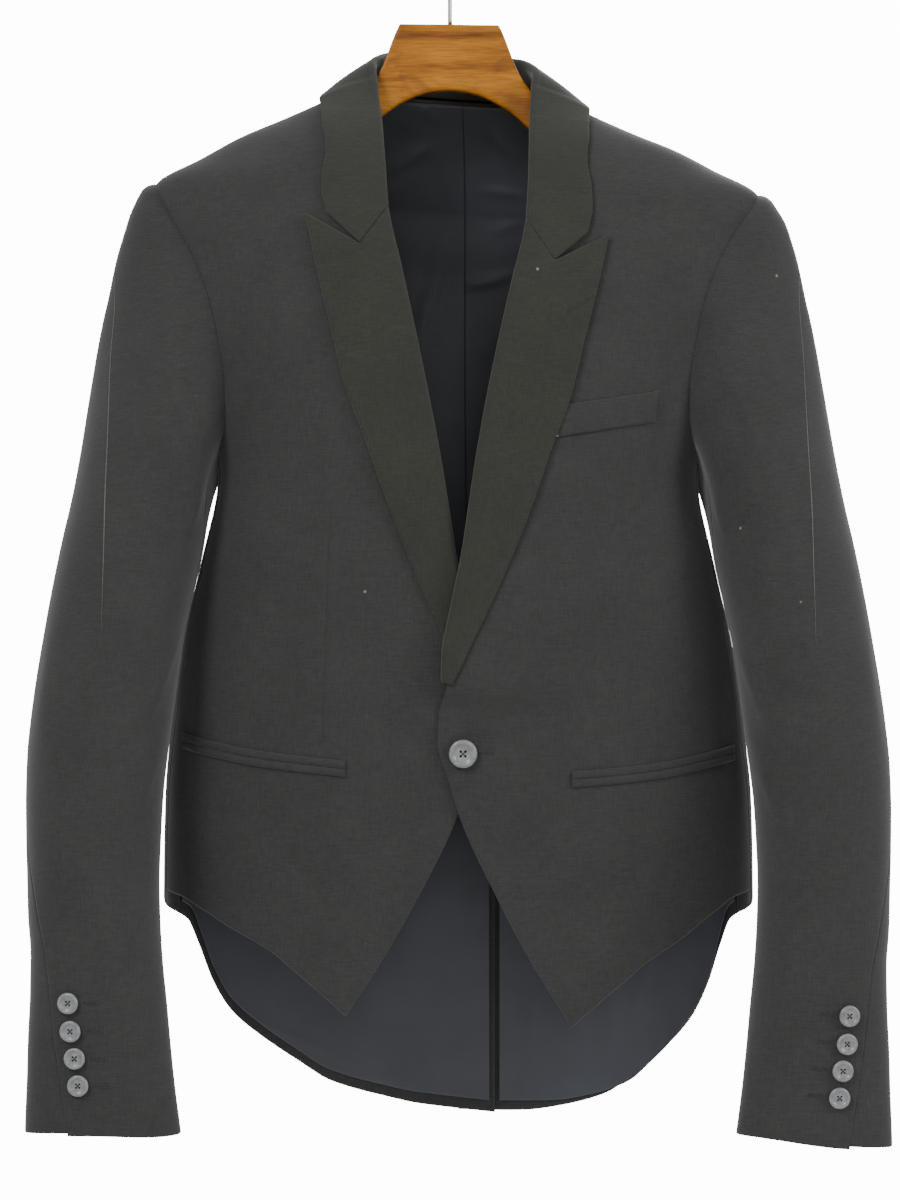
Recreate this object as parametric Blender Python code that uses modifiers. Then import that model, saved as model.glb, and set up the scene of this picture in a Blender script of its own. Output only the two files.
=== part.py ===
"""Spencer jacket on a wooden suit hanger, hanging from the hook.

Lengths in the tables are millimetres. A place on the jacket has a drop, which is measured down from the
point inside the hook where a rail bears. Round the body it has an angle: 0 at centre front, 90 at the side
and on the shoulder seam, 180 at centre back. Its lift is the distance off the outer face of the cloth.
Each half is worked out on the +X side, and side -1 mirrors it. Side 1 is the wearer's left.
"""
from math import atan2, copysign, cos, degrees, exp, pi, radians, sin, tanh

import bmesh
import bpy
from mathutils import Matrix, Vector

MM = 0.001
LEFT, RIGHT = 1, -1
SIDE_NAMES = {LEFT: "left", RIGHT: "right"}

CLOTH = 2.0
SLEEVE_CLOTH = 1.6
FOLDED_CLOTH = 1.8
LINING_CLOTH = 0.8
LINING_LIFT = -3.2
SEAM_GAP = 0.3
SEAT_GAP = 0.35


class Table:
    """Rows under named columns, read between the rows by a monotone cubic in the first column."""

    def __init__(self, names, *rows):
        self.places = [row[0] for row in rows]
        self.columns = {}
        for index, name in enumerate(names.split()[1:], start=1):
            values = [row[index] for row in rows]
            self.columns[name] = (values, monotone_slopes(self.places, values))

    def at(self, place, name):
        values, slopes = self.columns[name]
        place = min(max(place, self.places[0]), self.places[-1])
        row = max(i for i in range(len(values) - 1) if self.places[i] <= place)
        span = self.places[row + 1] - self.places[row]
        share = (place - self.places[row]) / span
        lead, arrive = slopes[row] * span, slopes[row + 1] * span
        return hermite(values[row], lead, values[row + 1], arrive, share)


def monotone_slopes(places, values):
    steps = [(values[i + 1] - values[i]) / (places[i + 1] - places[i]) for i in range(len(values) - 1)]
    inner = [2 * a * b / (a + b) if a * b > 0 else 0.0 for a, b in zip(steps, steps[1:])]
    return [steps[0], *inner, steps[-1]]


def hermite(start, lead, end, arrive, share):
    square, cube = share * share, share ** 3
    from_start = start * (2 * cube - 3 * square + 1) + lead * (cube - 2 * square + share)
    return from_start + end * (3 * square - 2 * cube) + arrive * (cube - square)


def smooth(value, low, high):
    share = min(max((value - low) / (high - low), 0.0), 1.0)
    return share * share * (3 - 2 * share)


def blend(start, end, share):
    return start + (end - start) * share


# Body: half width and the depths before and behind the shoulder line at each drop
BODY = Table(
    "drop half_width front back",
    (118, 62, 6, 48), (126, 78, 18, 54), (136, 98, 30, 60), (149, 127, 41, 66), (161, 156, 49, 70),
    (176, 184, 57, 74), (193, 215, 64, 78), (199, 217.5, 66, 79.5), (205, 217.5, 68, 81),
    (225, 213, 74, 84), (255, 205, 80, 88),
    (286, 196, 85, 89.5), (318, 188, 88, 90), (349, 181.5, 90, 90), (372, 177, 91, 89),
    (400, 172, 92, 87), (459, 183, 92, 81), (516, 195, 90, 76), (572, 203, 88.5, 74.5),
    (628, 209, 86, 75), (690, 211, 81, 77.5), (790, 212, 74, 82), (862, 212, 72, 84),
)
BODY_ROUNDNESS = 2.5

# Armhole: turn 0 on the shoulder seam, 90 across the front or the back, 160 where the side panel starts
ARMHOLE = Table(
    "turn drop front back",
    (0, 193, 90, 90), (10, 199, 74, 104), (29, 220, 63.5, 116), (58, 255, 57, 121),
    (82, 286, 55.5, 122), (104, 318, 56, 121), (125, 349, 58.5, 119.5), (143, 372, 64, 117),
    (160, 388, 76, 112),
)
UNDERARM = Table("angle drop", (76, 388), (82, 396), (94, 402), (104, 397), (112, 388))
FRONT_SEAM, BACK_SEAM, SHOULDER, CENTRE_BACK = 76, 112, 90, 180
ARMPIT_TURN = 160
ARMHOLE_TOP, ARMHOLE_FOOT = 193, 388

# Edge of each front: how far it stops short of centre front, so a negative inset crosses it
EDGE = Table(
    "drop inset",
    (118, 60), (124, 56), (132, 54), (146, 52.3), (179, 50.5), (215, 48), (259, 38.3), (301, 29),
    (345, 20), (389.5, 11.8), (424.5, 6.3), (452.5, 2.1), (481, -3.5), (501, -7.7), (524.6, -11.9),
    (550.5, -12.6), (588, -14.7), (606, -9.8), (620, -5.2), (637, 0), (688, 23.6), (737, 50),
    (783.6, 79.5),
)
TUCK = Table("drop back", (118, 6.0), (141, 5.4), (165, 4.0), (547, 4.0), (566, 0.0))
FRONT_HEM = Table(
    "angle drop",
    (21.3, 783.6), (25.4, 770), (31.6, 751), (36.2, 738), (44.7, 722), (53.1, 707.6), (62.9, 697.5),
    (76, 694),
)
BACK_HEM = Table(
    "angle drop",
    (76, 694), (90, 704), (104, 710), (112, 714), (117, 719), (122, 740), (126, 765), (131, 789),
    (138, 811), (145, 830), (151, 845), (160, 855), (167, 859.5), (180, 862),
)
FRONT_POINT_DROP = 783.6

# The left front lies over the right one: how far its cloth is raised, fading out away from the edge
OVERLAP = Table("drop lift", (365, 0), (452, 7.6), (545, 7.6), (566, 2.9), (640, 2.9), (720, 0))
OVERLAP_FULL, OVERLAP_END = 8, 110

# Centre vent: the right back runs on under the left one
VENT_START, VENT_FULL = 655, 672
VENT_UNDERLAP = 27
VENT_SINK = 2.8
SINK_DROPS, SINK_SPREAD = (620, 652), (30, 60)
LINING_UNDERLAP, LINING_SETBACK = 23, 30
LINING_SHORT = 9

# The whole jacket hangs a little off centre and lower at the wearer's left
HANG = Table(
    "drop centre lean outer_lean",
    (85, 3, 4, 4), (118, 3, 4.5, 4), (160, 4.3, 4.7, 4), (198, 5, 6, 4), (225, 5, 8, 0.8),
    (310, 5, 6.4, 0.4), (450, 6, 5, 3), (620, 6, 4.5, 4.5), (870, 6, 5, 5),
)
LEAN_REACH = 70
OUTER_FROM, OUTER_TO = 130, 175
HEM_LEVEL_DROPS = (580, 690)
HEM_LEVEL_AT, HEM_LEVEL_WIDTH = 200, 45

SHOULDER_DROPS = (123, 136, 152, 172)
NECK_DROP_SIDE, NECK_DROP_BACK = 118.3, 124
ARMHOLE_STEP = 16
FRONT_LOWER_ROWS = (
    0.045, 0.09, 0.135, 0.18, 0.27, 0.36, 0.40, 0.45, 0.485, 0.52, 0.56, 0.6, 0.68, 0.76, 0.84, 0.92, 1.0,
)
LOWER_ROWS = (0.09, 0.18, 0.27, 0.36, 0.44, 0.52, 0.5625, 0.60, 0.68, 0.76, 0.84, 0.92, 1.0)
FRONT_COLUMNS, BACK_COLUMNS, SIDE_COLUMNS = 12, 9, 4


def superellipse(angle, roundness):
    """Cosine and sine of an angle, pushed out from a circle to a squarer round."""
    across, along = cos(radians(angle)), sin(radians(angle))
    reach = (abs(across) ** roundness + abs(along) ** roundness) ** (1 / roundness)
    return across / reach, along / reach


def body_place(angle, drop):
    along, out = superellipse(angle, BODY_ROUNDNESS)
    depth = BODY.at(drop, "front" if along > 0 else "back")
    return Vector((BODY.at(drop, "half_width") * out, -depth * along, -drop))


def body_normal(angle, drop):
    down = body_place(angle, drop + 1) - body_place(angle, drop - 1)
    across = body_place(angle + 0.5, drop) - body_place(angle - 0.5, drop)
    return down.cross(across).normalized()


def body_point(angle, drop, lift=0.0):
    return body_place(angle, drop) + body_normal(angle, drop) * lift


def angle_of(x, drop):
    """Angle on the front half at a distance from centre front."""
    share = min(abs(x) / BODY.at(drop, "half_width"), 1.0)
    depth = (1 - share ** BODY_ROUNDNESS) ** (1 / BODY_ROUNDNESS)
    return copysign(degrees(atan2(share, depth)), x)


def moved_angle(angle, drop, distance):
    """The angle that lies a distance further round the cloth."""
    per_degree = (body_place(angle + 0.5, drop) - body_place(angle - 0.5, drop)).length
    return angle + distance / per_degree


def front_point(angle, drop, lift, side):
    """Place on a front, with the overlap of the wearer's left front."""
    if side == LEFT:
        x = body_place(angle, drop).x
        lift += OVERLAP.at(drop, "lift") * (1 - smooth(x, OVERLAP_FULL, OVERLAP_END))
    return body_point(angle, drop, lift)


def on_front(x, drop, lift, side):
    return front_point(angle_of(x, drop), drop, lift, side)


def back_point(angle, drop, lift, side):
    """Place on a back, with the wearer's right back sunk under the left one at the vent."""
    if side == RIGHT:
        x = body_place(angle, drop).x
        lift -= VENT_SINK * smooth(drop, *SINK_DROPS) * (1 - smooth(x, *SINK_SPREAD))
    return body_point(angle, drop, lift)


def hung(point, side):
    """World place in metres of a point of the +X half, after the mirror and the jacket's lean."""
    x, drop = side * point.x, -point.z
    level = smooth(drop, *HEM_LEVEL_DROPS) * exp(-((abs(x) - HEM_LEVEL_AT) / HEM_LEVEL_WIDTH) ** 2)
    outwards = smooth(abs(x), OUTER_FROM, OUTER_TO)
    lean = blend(HANG.at(drop, "lean"), HANG.at(drop, "outer_lean"), outwards)
    lowered = drop + lean * tanh(x / LEAN_REACH) * (1 - level)
    return Vector((x + HANG.at(drop, "centre"), point.y, -lowered)) * MM


def hung_grid(grid, side):
    return [[hung(point, side) for point in row] for row in grid]


def armhole_place(turn):
    """Angle and drop on the armhole seam, from the shoulder (0) by the front (90) and the armpit (180)."""
    turn %= 360
    reach = min(turn, 360 - turn)
    if reach > ARMPIT_TURN:
        share = (turn - ARMPIT_TURN) / (360 - 2 * ARMPIT_TURN)
        angle = blend(FRONT_SEAM, BACK_SEAM, share)
        return angle, UNDERARM.at(angle, "drop")
    return ARMHOLE.at(reach, "front" if turn < 180 else "back"), ARMHOLE.at(reach, "drop")


ARMHOLE_TURNS = range(0, ARMPIT_TURN + 1, ARMHOLE_STEP)


def front_grid(side, lift, first_drop=SHOULDER_DROPS[0]):
    """Rows from the neck point to the hem, each from the front edge to the shoulder, armhole or side seam."""
    shares = [i / (FRONT_COLUMNS - 1) for i in range(FRONT_COLUMNS)]
    grid = []

    def row(inner_drop, outer_angle, drops):
        inner = angle_of(EDGE.at(inner_drop, "inset") + TUCK.at(inner_drop, "back"), inner_drop)
        angles = [blend(inner, outer_angle, share) for share in shares]
        grid.append([front_point(a, d, lift, side) for a, d in zip(angles, drops(angles))])

    for drop in SHOULDER_DROPS:
        row(drop, moved_angle(SHOULDER, drop, -SEAM_GAP / 2), lambda angles: [drop] * len(angles))
    for turn in ARMHOLE_TURNS:
        angle, drop = armhole_place(turn)
        if turn in (0, ARMPIT_TURN):
            angle = moved_angle(angle, drop, -SEAM_GAP / 2)
        row(drop, angle, lambda angles: [drop] * len(angles))
    foot = angle_of(EDGE.at(FRONT_POINT_DROP, "inset"), FRONT_POINT_DROP)
    hems = [FRONT_HEM.at(blend(foot, FRONT_SEAM, share), "drop") for share in shares]
    for fall in FRONT_LOWER_ROWS:
        seam_drop = blend(ARMHOLE_FOOT, hems[-1], fall)
        row(
            blend(ARMHOLE_FOOT, FRONT_POINT_DROP, fall),
            moved_angle(FRONT_SEAM, seam_drop, -SEAM_GAP / 2),
            lambda angles: [blend(ARMHOLE_FOOT, hem, fall) for hem in hems],
        )
    return grid


def side_grid(lift):
    grid = []
    for fall in (0.0, *LOWER_ROWS):
        row = []
        for column in range(SIDE_COLUMNS):
            angle = blend(FRONT_SEAM, BACK_SEAM, column / (SIDE_COLUMNS - 1))
            drop = blend(UNDERARM.at(angle, "drop"), BACK_HEM.at(angle, "drop"), fall)
            if column == 0:
                angle = moved_angle(angle, drop, SEAM_GAP / 2)
            if column == SIDE_COLUMNS - 1:
                angle = moved_angle(angle, drop, -SEAM_GAP / 2)
            row.append(body_point(angle, drop, lift))
        grid.append(row)
    return grid


def centre_angle(drop, past):
    """Angle of a back's inner edge; past is how far it runs beyond centre back in the vent."""
    opening = smooth(drop, VENT_START, VENT_FULL)
    return moved_angle(CENTRE_BACK, drop, -SEAM_GAP / 2 + (past + SEAM_GAP / 2) * opening)


def back_grid(side, lift, past, hem_short=0.0, skip_rows=0):
    """Rows from the back neck to the hem, each from the shoulder, armhole or side seam to centre back."""
    shares = [i / (BACK_COLUMNS - 1) for i in range(BACK_COLUMNS)]
    grid = []

    def row(outer_angle, drops):
        centre = centre_angle(drops[-1], past)
        angles = [blend(outer_angle, centre, share) for share in shares]
        grid.append([back_point(a, d, lift, side) for a, d in zip(angles, drops)])

    def dipped(drop):
        dip = (NECK_DROP_BACK - NECK_DROP_SIDE) * (ARMHOLE_TOP - drop) / (ARMHOLE_TOP - NECK_DROP_SIDE)
        return [drop + dip * smooth(share, 0, 0.75) for share in shares]

    for drop in (NECK_DROP_SIDE, *SHOULDER_DROPS):
        row(moved_angle(SHOULDER, drop, SEAM_GAP / 2), dipped(drop))
    for turn in ARMHOLE_TURNS:
        angle, drop = armhole_place(-turn)
        at_seam = SEAM_GAP / 2 if turn in (0, ARMPIT_TURN) else 0.0
        row(moved_angle(angle, drop, at_seam), [drop] * len(shares))
    hems = [BACK_HEM.at(blend(BACK_SEAM, CENTRE_BACK, share), "drop") for share in shares]
    for fall in LOWER_ROWS:
        drops = [blend(ARMHOLE_FOOT, hem, fall) - hem_short * smooth(fall, 0.8, 1) for hem in hems]
        row(moved_angle(BACK_SEAM, drops[0], SEAM_GAP / 2), drops)
    return grid[skip_rows:]


# Sleeve below its head: x of the inner and the outer fold, and the middle and half depth in y
SLEEVE = Table(
    "drop inner outer middle depth",
    (440, 179, 279.5, -31, 60.5), (460, 182, 283.4, -36, 60), (488, 188, 288.4, -43, 59),
    (516, 193.6, 292.8, -50, 57), (544, 197.2, 297, -56, 55.5), (572, 200.8, 300.5, -61, 54),
    (600, 204.4, 302.9, -66, 52), (628, 207.3, 303.5, -70, 50), (656, 208.7, 303, -74, 47.5),
    (684, 209.5, 302, -78, 45), (712, 208.6, 301, -82, 41.5), (740, 206.7, 299, -85, 38),
    (768, 203.7, 299.2, -88, 35), (796, 201, 300.4, -90, 32), (824, 198, 301, -92, 29.5),
    (852, 194.3, 302, -93.5, 27), (868, 192, 302.4, -94, 26),
)
SLEEVE_ROUNDNESS = 2.3
HEAD_TOP, HEAD_FOOT, CUFF = 200, 440, 862
CUFF_SLANT = 3
UNDER_SHORTER = 2.0
MITRE_LEAN = 0.35
SEAM_RADIUS = 45

# Sleeve seams: the turn of the back and the front seam at each station down the sleeve
SLEEVE_SEAMS = Table(
    "station back front",
    (200, -80, 144), (402, -60, 162), (487, -45, 171), (560, -25, 180), (621, 0, 186.5),
    (706, 38, 198.5), (800, 56, 215), (868, 67, 225),
)
# How the sleeve head leaves the armhole and reaches the first ring, at four turns: out, back, up
HEAD_LEAVES = {0: (140, 0, -165), 90: (70, -45, -50), 180: (10, -5, -20), 270: (75, 20, -60)}
HEAD_LANDS = {0: (54, -60, -240), 90: (20, -25, -110), 180: (6, -10, -38), 270: (15, -20, -110)}
HEAD_ROWS = (0.05, 0.14, 0.3, 0.5, 0.72)
# The sleeve head stands proud of the shoulder just past its seam
HEAD_PUFF = Table(
    "past lift",
    (0, 0), (5, 4), (10, 5.5), (16, 5.2), (25, 4.8), (40, 3.2), (60, 1.1), (90, -1.2), (130, -1.5), (240, 0),
)
PUFF_TURNS = 34
ARM_ROWS = (440, 475, 512, 550, 588, 626, 664, 702, 740, 778, 820, 862)


def wave(quarters, turn):
    """A vector given at four turns, read at any turn by the smooth wave through them."""
    top, front, under, rear = (Vector(quarters[quarter]) for quarter in (0, 90, 180, 270))
    angle = radians(turn)
    steady = (top + front + under + rear) / 4
    once = (top - under) / 2 * cos(angle) + (front - rear) / 2 * sin(angle)
    return steady + once + (top - front + under - rear) / 4 * cos(2 * angle)


def sleeve_ring(turn, drop):
    across, along = superellipse(turn, SLEEVE_ROUNDNESS)
    inner, outer = SLEEVE.at(drop, "inner"), SLEEVE.at(drop, "outer")
    x = (inner + outer) / 2 + (outer - inner) / 2 * across
    return Vector((x, SLEEVE.at(drop, "middle") - SLEEVE.at(drop, "depth") * along, -drop))


def armhole_outward(turn):
    """Direction in the cloth, across the armhole seam and into the hole."""
    angle, drop = armhole_place(turn)
    before, after = body_place(*armhole_place(turn - 2)), body_place(*armhole_place(turn + 2))
    outward = body_normal(angle, drop).cross(after - before).normalized()
    to_middle = body_place(SHOULDER, 300) - body_place(angle, drop)
    return outward if outward.dot(to_middle) > 0 else -outward


def sleeve_place(turn, station):
    """Outer face of the sleeve; stations 200 to 440 run down its head, and later ones are drops."""
    if station >= HEAD_FOOT:
        return sleeve_ring(turn, station)
    angle, drop = armhole_place(turn)
    start = body_place(angle, drop) + armhole_outward(turn) * SEAM_GAP
    share = (station - HEAD_TOP) / (HEAD_FOOT - HEAD_TOP)
    end = sleeve_ring(turn, HEAD_FOOT)
    return hermite(start, wave(HEAD_LEAVES, turn), end, wave(HEAD_LANDS, turn), share)


def sleeve_normal(turn, station):
    first, last = max(station - 3, HEAD_TOP), station + 3
    down = sleeve_place(turn, last) - sleeve_place(turn, first)
    round_front = sleeve_place(turn + 1.5, station) - sleeve_place(turn - 1.5, station)
    return round_front.cross(down).normalized()


def head_puff(turn, station):
    turn = (turn + 180) % 360 - 180
    return HEAD_PUFF.at(station - HEAD_TOP, "lift") * exp(-((turn / PUFF_TURNS) ** 2))


def sleeve_point(turn, station, lift=0.0):
    return sleeve_place(turn, station) + sleeve_normal(turn, station) * (lift + head_puff(turn, station))


def sleeve_start(turn, lift):
    """Row on the armhole seam, mitred between the body's cloth and the sleeve's."""
    angle, drop = armhole_place(turn)
    normals = body_normal(angle, drop) + sleeve_normal(turn, HEAD_TOP + 4)
    mitre = (normals - armhole_outward(turn) * MITRE_LEAN).normalized()
    return sleeve_place(turn, HEAD_TOP) + mitre * lift


TOP_TURNS = (144, 128, 112, 96, 80, 64, 48, 32, 16, 0, -16, -32, -48, -64, -80)
UNDER_TURNS = (144, 160, 172, 188, 200, 216, 232, 248, 264, 280)


def sleeve_grid(turns, lift, shorter=0.0):
    """Rows down the sleeve; each column keeps its share between the two seams, which wind round."""
    first, last = turns[0], turns[-1]
    stations = [HEAD_TOP + share * (HEAD_FOOT - HEAD_TOP) for share in HEAD_ROWS]
    gap = copysign(degrees(SEAM_GAP / 2 / SEAM_RADIUS), last - first)
    shares = [(turn - first) / (last - first) for turn in turns]
    grid = [[sleeve_start(turn + gap * (1 - 2 * share), lift) for turn, share in zip(turns, shares)]]
    for station in (*stations, *ARM_ROWS):
        front = SLEEVE_SEAMS.at(station, "front")
        back = SLEEVE_SEAMS.at(station, "back") + (360 if last > first else 0)
        row = []
        for share in shares:
            here = blend(front, back, share) + gap * (1 - 2 * share)
            low = station + CUFF_SLANT * cos(radians(here)) - shorter if station == CUFF else station
            row.append(sleeve_point(here, low, lift))
        grid.append(row)
    return grid


# Turned-back edge: the fold's outer radius, the height of its middle, and how far the cloth tucks under
FOLD_RADIUS, FOLD_MIDDLE, FOLD_TUCK = 3.6, -1.0, 6.0
FOLD_ANGLES = (-90, -45, 0, 45, 90)
LAPEL_OUTER = Table(
    "drop x",
    (223.4, 106.3), (260.7, 98.4), (297.8, 89.2), (341.9, 78.4), (376.2, 65.6), (415.4, 51.9),
    (449, 39.2), (480.5, 25.9), (513.4, 10.8), (534.4, 1.4), (547, -4.6),
)
GORGE_DROP, BREAK_DROP = 215, 545
PEAK_DROP, LAPEL_END_DROP = 223.4, 547
NOTCH_FALL, LAPEL_NOTCH, COLLAR_NOTCH = 26, 0.343, 0.457
NOTCH_FADE, BELLY_FADE = (-0.04, 0.16), (400, 470)
LAPEL_SHARES = (0.17, 0.343, 0.56, 0.79, 1.0)
LAPEL_ROWS = (0, 0.05, 0.11, 0.19, 0.28, 0.37, 0.46, 0.55, 0.64, 0.73, 0.82, 0.91, 1.0)
FOLD_LIFT = FOLD_MIDDLE + FOLD_RADIUS
LAPEL_LIFT = Table("share lift", (0, FOLD_LIFT), (0.3, 3.9), (0.7, 4.3), (1, 4.0))
GORGE_SEAM = 0.28


def tent(share, top):
    return share / top if share < top else (1 - share) / (1 - top)


def folded_row(roll, outer, fall, notch, shares, thin, belly, side):
    """One row of a turned-back front edge: under the cloth, round the fold, and out over the front.

    roll and outer are (x, drop) pairs; thin moves the whole row into the cloth, for its inner face.
    """
    width = outer[0] - roll[0]

    def place(x, lift):
        share = max((x - roll[0]) / width, 0.0)
        drop = blend(roll[1], outer[1], share) + fall * tent(min(share, 1.0), notch)
        return on_front(x, drop, lift, side)

    tucked = min(FOLD_TUCK, width - 0.5)
    row = [place(roll[0] + tucked, FOLD_MIDDLE - FOLD_RADIUS + thin)]
    for angle in FOLD_ANGLES:
        reach, rise = cos(radians(angle)), sin(radians(angle))
        x = roll[0] + FOLD_RADIUS - (FOLD_RADIUS - thin) * reach
        row.append(place(x, FOLD_MIDDLE + (FOLD_RADIUS - thin) * rise))
    start = FOLD_RADIUS / width
    for share in shares:
        share = max(share, start)
        lift = blend(FOLD_LIFT, LAPEL_LIFT.at(share, "lift"), belly)
        row.append(place(blend(roll[0], outer[0], share), lift - thin))
    return row


def lapel_grid(side, thin):
    grid = []
    for down in LAPEL_ROWS:
        roll_drop = blend(GORGE_DROP, BREAK_DROP, down)
        outer_drop = blend(PEAK_DROP, LAPEL_END_DROP, down)
        seam = GORGE_SEAM if down == 0 else 0.0
        roll = (EDGE.at(roll_drop, "inset"), roll_drop + seam)
        outer = (LAPEL_OUTER.at(outer_drop, "x"), outer_drop + seam)
        fall = NOTCH_FALL * (1 - smooth(down, *NOTCH_FADE)) / (1 - smooth(0, *NOTCH_FADE))
        belly = 1 - smooth(roll_drop, *BELLY_FADE)
        grid.append(folded_row(roll, outer, fall, LAPEL_NOTCH, LAPEL_SHARES, thin, belly, side))
    return grid


# Collar, from centre back (0) to the gorge (1): the crest of its fold behind the neck, the foot of its
# stand, and the outer edge of its leaf
COLLAR_CREST = Table(
    "along x y drop",
    (0, 0, 60, 90), (0.12, 26, 55, 90), (0.24, 44, 38, 92.5), (0.36, 52.5, 13, 98.5),
    (0.46, 57, -5, 106), (0.56, 55.5, -20, 121),
)
COLLAR_FOOT = Table(
    "along angle drop lift",
    (0, 180, 121.6, -1.8), (0.14, 157, 121.2, -1.8), (0.27, 136, 119.8, -1.8), (0.38, 112, 116.8, -1.8),
    (0.46, 92, 115.5, -1.8), (0.51, 73, 115.0, -1.0), (0.56, 44, 125.5, -3.2),
)
COLLAR_OUTER = Table(
    "along angle drop lift",
    (0, 180, 138, 5), (0.14, 157, 138, 5), (0.27, 136, 137, 5), (0.38, 112, 135, 5),
    (0.47, 88, 133.5, 5), (0.56, 64, 137.5, 5), (0.66, 46, 147, 4), (0.78, 31, 168, 3.2),
    (0.9, 24.7, 197, 2.8), (1, 24.7, 223, 2.8),
)
COLLAR_ROLL = Table("along drop", (0.66, 141), (0.78, 170), (0.9, 195), (1, 215))
COLLAR_BACK_ROWS = (0, 0.08, 0.16, 0.24, 0.32, 0.39, 0.46, 0.51, 0.56)
COLLAR_FRONT_ROWS = (0.66, 0.72, 0.78, 0.84, 0.9, 0.95, 1)
COLLAR_SHARES = (0.22, 0.457, 0.72, 0.86, 1.0)
COLLAR_CORNER_X = 91.8
COLLAR_FALL, COLLAR_FALL_START = 25.4, 0.74
LEAF_BULGE = 1.6


def crest(along):
    x, y, drop = (COLLAR_CREST.at(along, name) for name in ("x", "y", "drop"))
    return Vector((x, y, -drop))


def table_point(table, along):
    return body_point(table.at(along, "angle"), table.at(along, "drop"), table.at(along, "lift"))


def collar_back_row(along, thin):
    """Row of the collar where it stands up round the neck, in the plane across its crest."""
    top, foot, outer = crest(along), table_point(COLLAR_FOOT, along), table_point(COLLAR_OUTER, along)
    if along == 0:
        track = Vector((1, 0, 0))
    else:
        track = (crest(min(along + 0.02, 0.56)) - crest(along - 0.02)).normalized()

    def across(vector):
        return (vector - track * vector.dot(track)).normalized()

    stand, leaf = across(foot - top), across(outer - top)
    up = -(stand + leaf).normalized()
    out = track.cross(up).normalized()
    if out.dot(leaf - stand) < 0:
        out = -out
    middle = top - up * FOLD_RADIUS
    row = [foot + out * thin]
    for angle in FOLD_ANGLES:
        turn = radians(angle)
        row.append(middle + (up * cos(turn) + out * sin(turn)) * (FOLD_RADIUS - thin))
    start = middle + out * FOLD_RADIUS
    face = body_normal(COLLAR_OUTER.at(along, "angle"), COLLAR_OUTER.at(along, "drop"))
    for share in COLLAR_SHARES:
        here = blend(start, outer, share)
        off = blend(out, face, share).normalized()
        row.append(here + off * (LEAF_BULGE * 4 * share * (1 - share) - thin))
    return row


def collar_front_row(along, thin):
    roll_drop, outer_drop = COLLAR_ROLL.at(along, "drop"), COLLAR_OUTER.at(along, "drop")
    fall = COLLAR_FALL * smooth(along, COLLAR_FALL_START, 1.0)
    outer_x = body_place(COLLAR_OUTER.at(along, "angle"), outer_drop).x
    seam = GORGE_SEAM if along == 1 else 0.0
    if along == 1:
        outer_x = COLLAR_CORNER_X
    roll = (EDGE.at(roll_drop, "inset"), roll_drop - seam)
    return folded_row(
        roll, (outer_x, outer_drop - seam), fall, COLLAR_NOTCH, COLLAR_SHARES, thin, 1.0, LEFT
    )


def collar_grid(thin):
    half = [collar_back_row(along, thin) for along in COLLAR_BACK_ROWS]
    front = [collar_front_row(along, thin) for along in COLLAR_FRONT_ROWS]
    half.append([blend(a, b, 0.5) for a, b in zip(half[-1], front[0])])
    half += front
    mirrored = hung_grid(half[:0:-1], RIGHT)
    return mirrored + hung_grid(half, LEFT)


# Pocket lines on the fronts, as x and drop, and the breast welt on the wearer's left
POCKET = Table("x drop", (79, 609.3), (135.6, 603.7), (196, 591.5))
JET_HEIGHT, JET_CLOTH, JET_COLUMNS = 5.6, 1.0, 15
WELT_TOP = Table("x drop", (62, 348.2), (141.3, 335))
WELT_FOOT = Table("x drop", (62, 370.8), (138.6, 356.6))
WELT_CLOTH, WELT_COLUMNS = 1.2, 10


def strip_grid(top, foot, ends, lift, columns, side):
    """Rows of a flat strip lying on a front, between two lines given as x and drop."""
    grid = []
    for down in (0, 0.5, 1):
        row = []
        for column in range(columns):
            share = column / (columns - 1)
            x = blend(blend(*ends[0], share), blend(*ends[1], share), down)
            row.append(on_front(x, blend(top(x), foot(x), down), lift, side))
        grid.append(row)
    return grid


def material(name, colour, roughness, metallic=0.0):
    made = bpy.data.materials.new(name)
    made.use_nodes = True
    shader = made.node_tree.nodes["Principled BSDF"]
    shader.inputs["Base Color"].default_value = (*colour, 1.0)
    shader.inputs["Roughness"].default_value = roughness
    shader.inputs["Metallic"].default_value = metallic
    return made


def collection(name):
    made = bpy.data.collections.new(name)
    bpy.context.scene.collection.children.link(made)
    return made


def wall(name, outer, inner, finish):
    """Closed wall of cloth between two grids of world points with the same rows and columns."""
    mesh = bmesh.new()
    sheets = [[[mesh.verts.new(point) for point in row] for row in grid] for grid in (outer, inner)]
    rows, columns = len(outer), len(outer[0])
    for i in range(rows - 1):
        for j in range(columns - 1):
            for sheet in sheets:
                mesh.faces.new((sheet[i][j], sheet[i][j + 1], sheet[i + 1][j + 1], sheet[i + 1][j]))
    bmesh.ops.triangulate(mesh, faces=mesh.faces[:], quad_method="FIXED")

    def rim(sheet):
        right = [sheet[i][-1] for i in range(1, rows)]
        left = [sheet[i][0] for i in range(rows - 2, 0, -1)]
        return sheet[0] + right + sheet[-1][-2::-1] + left

    loops = list(zip(rim(sheets[0]), rim(sheets[1])))
    for (a, b), (c, d) in zip(loops, loops[1:] + loops[:1]):
        mesh.faces.new((a, c, d, b))
    bmesh.ops.recalc_face_normals(mesh, faces=mesh.faces[:])
    return finished(name, mesh, finish)


def finished(name, mesh, finish):
    data = bpy.data.meshes.new(name)
    mesh.to_mesh(data)
    mesh.free()
    data.materials.append(finish)
    made = bpy.data.objects.new(name, data)
    JACKET.objects.link(made)
    return made


def panel(name, grid_at, thickness, side, finish):
    """Wall from a function that gives the grid of the +X half at a lift."""
    return wall(name, hung_grid(grid_at(0.0), side), hung_grid(grid_at(-thickness), side), finish)


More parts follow.
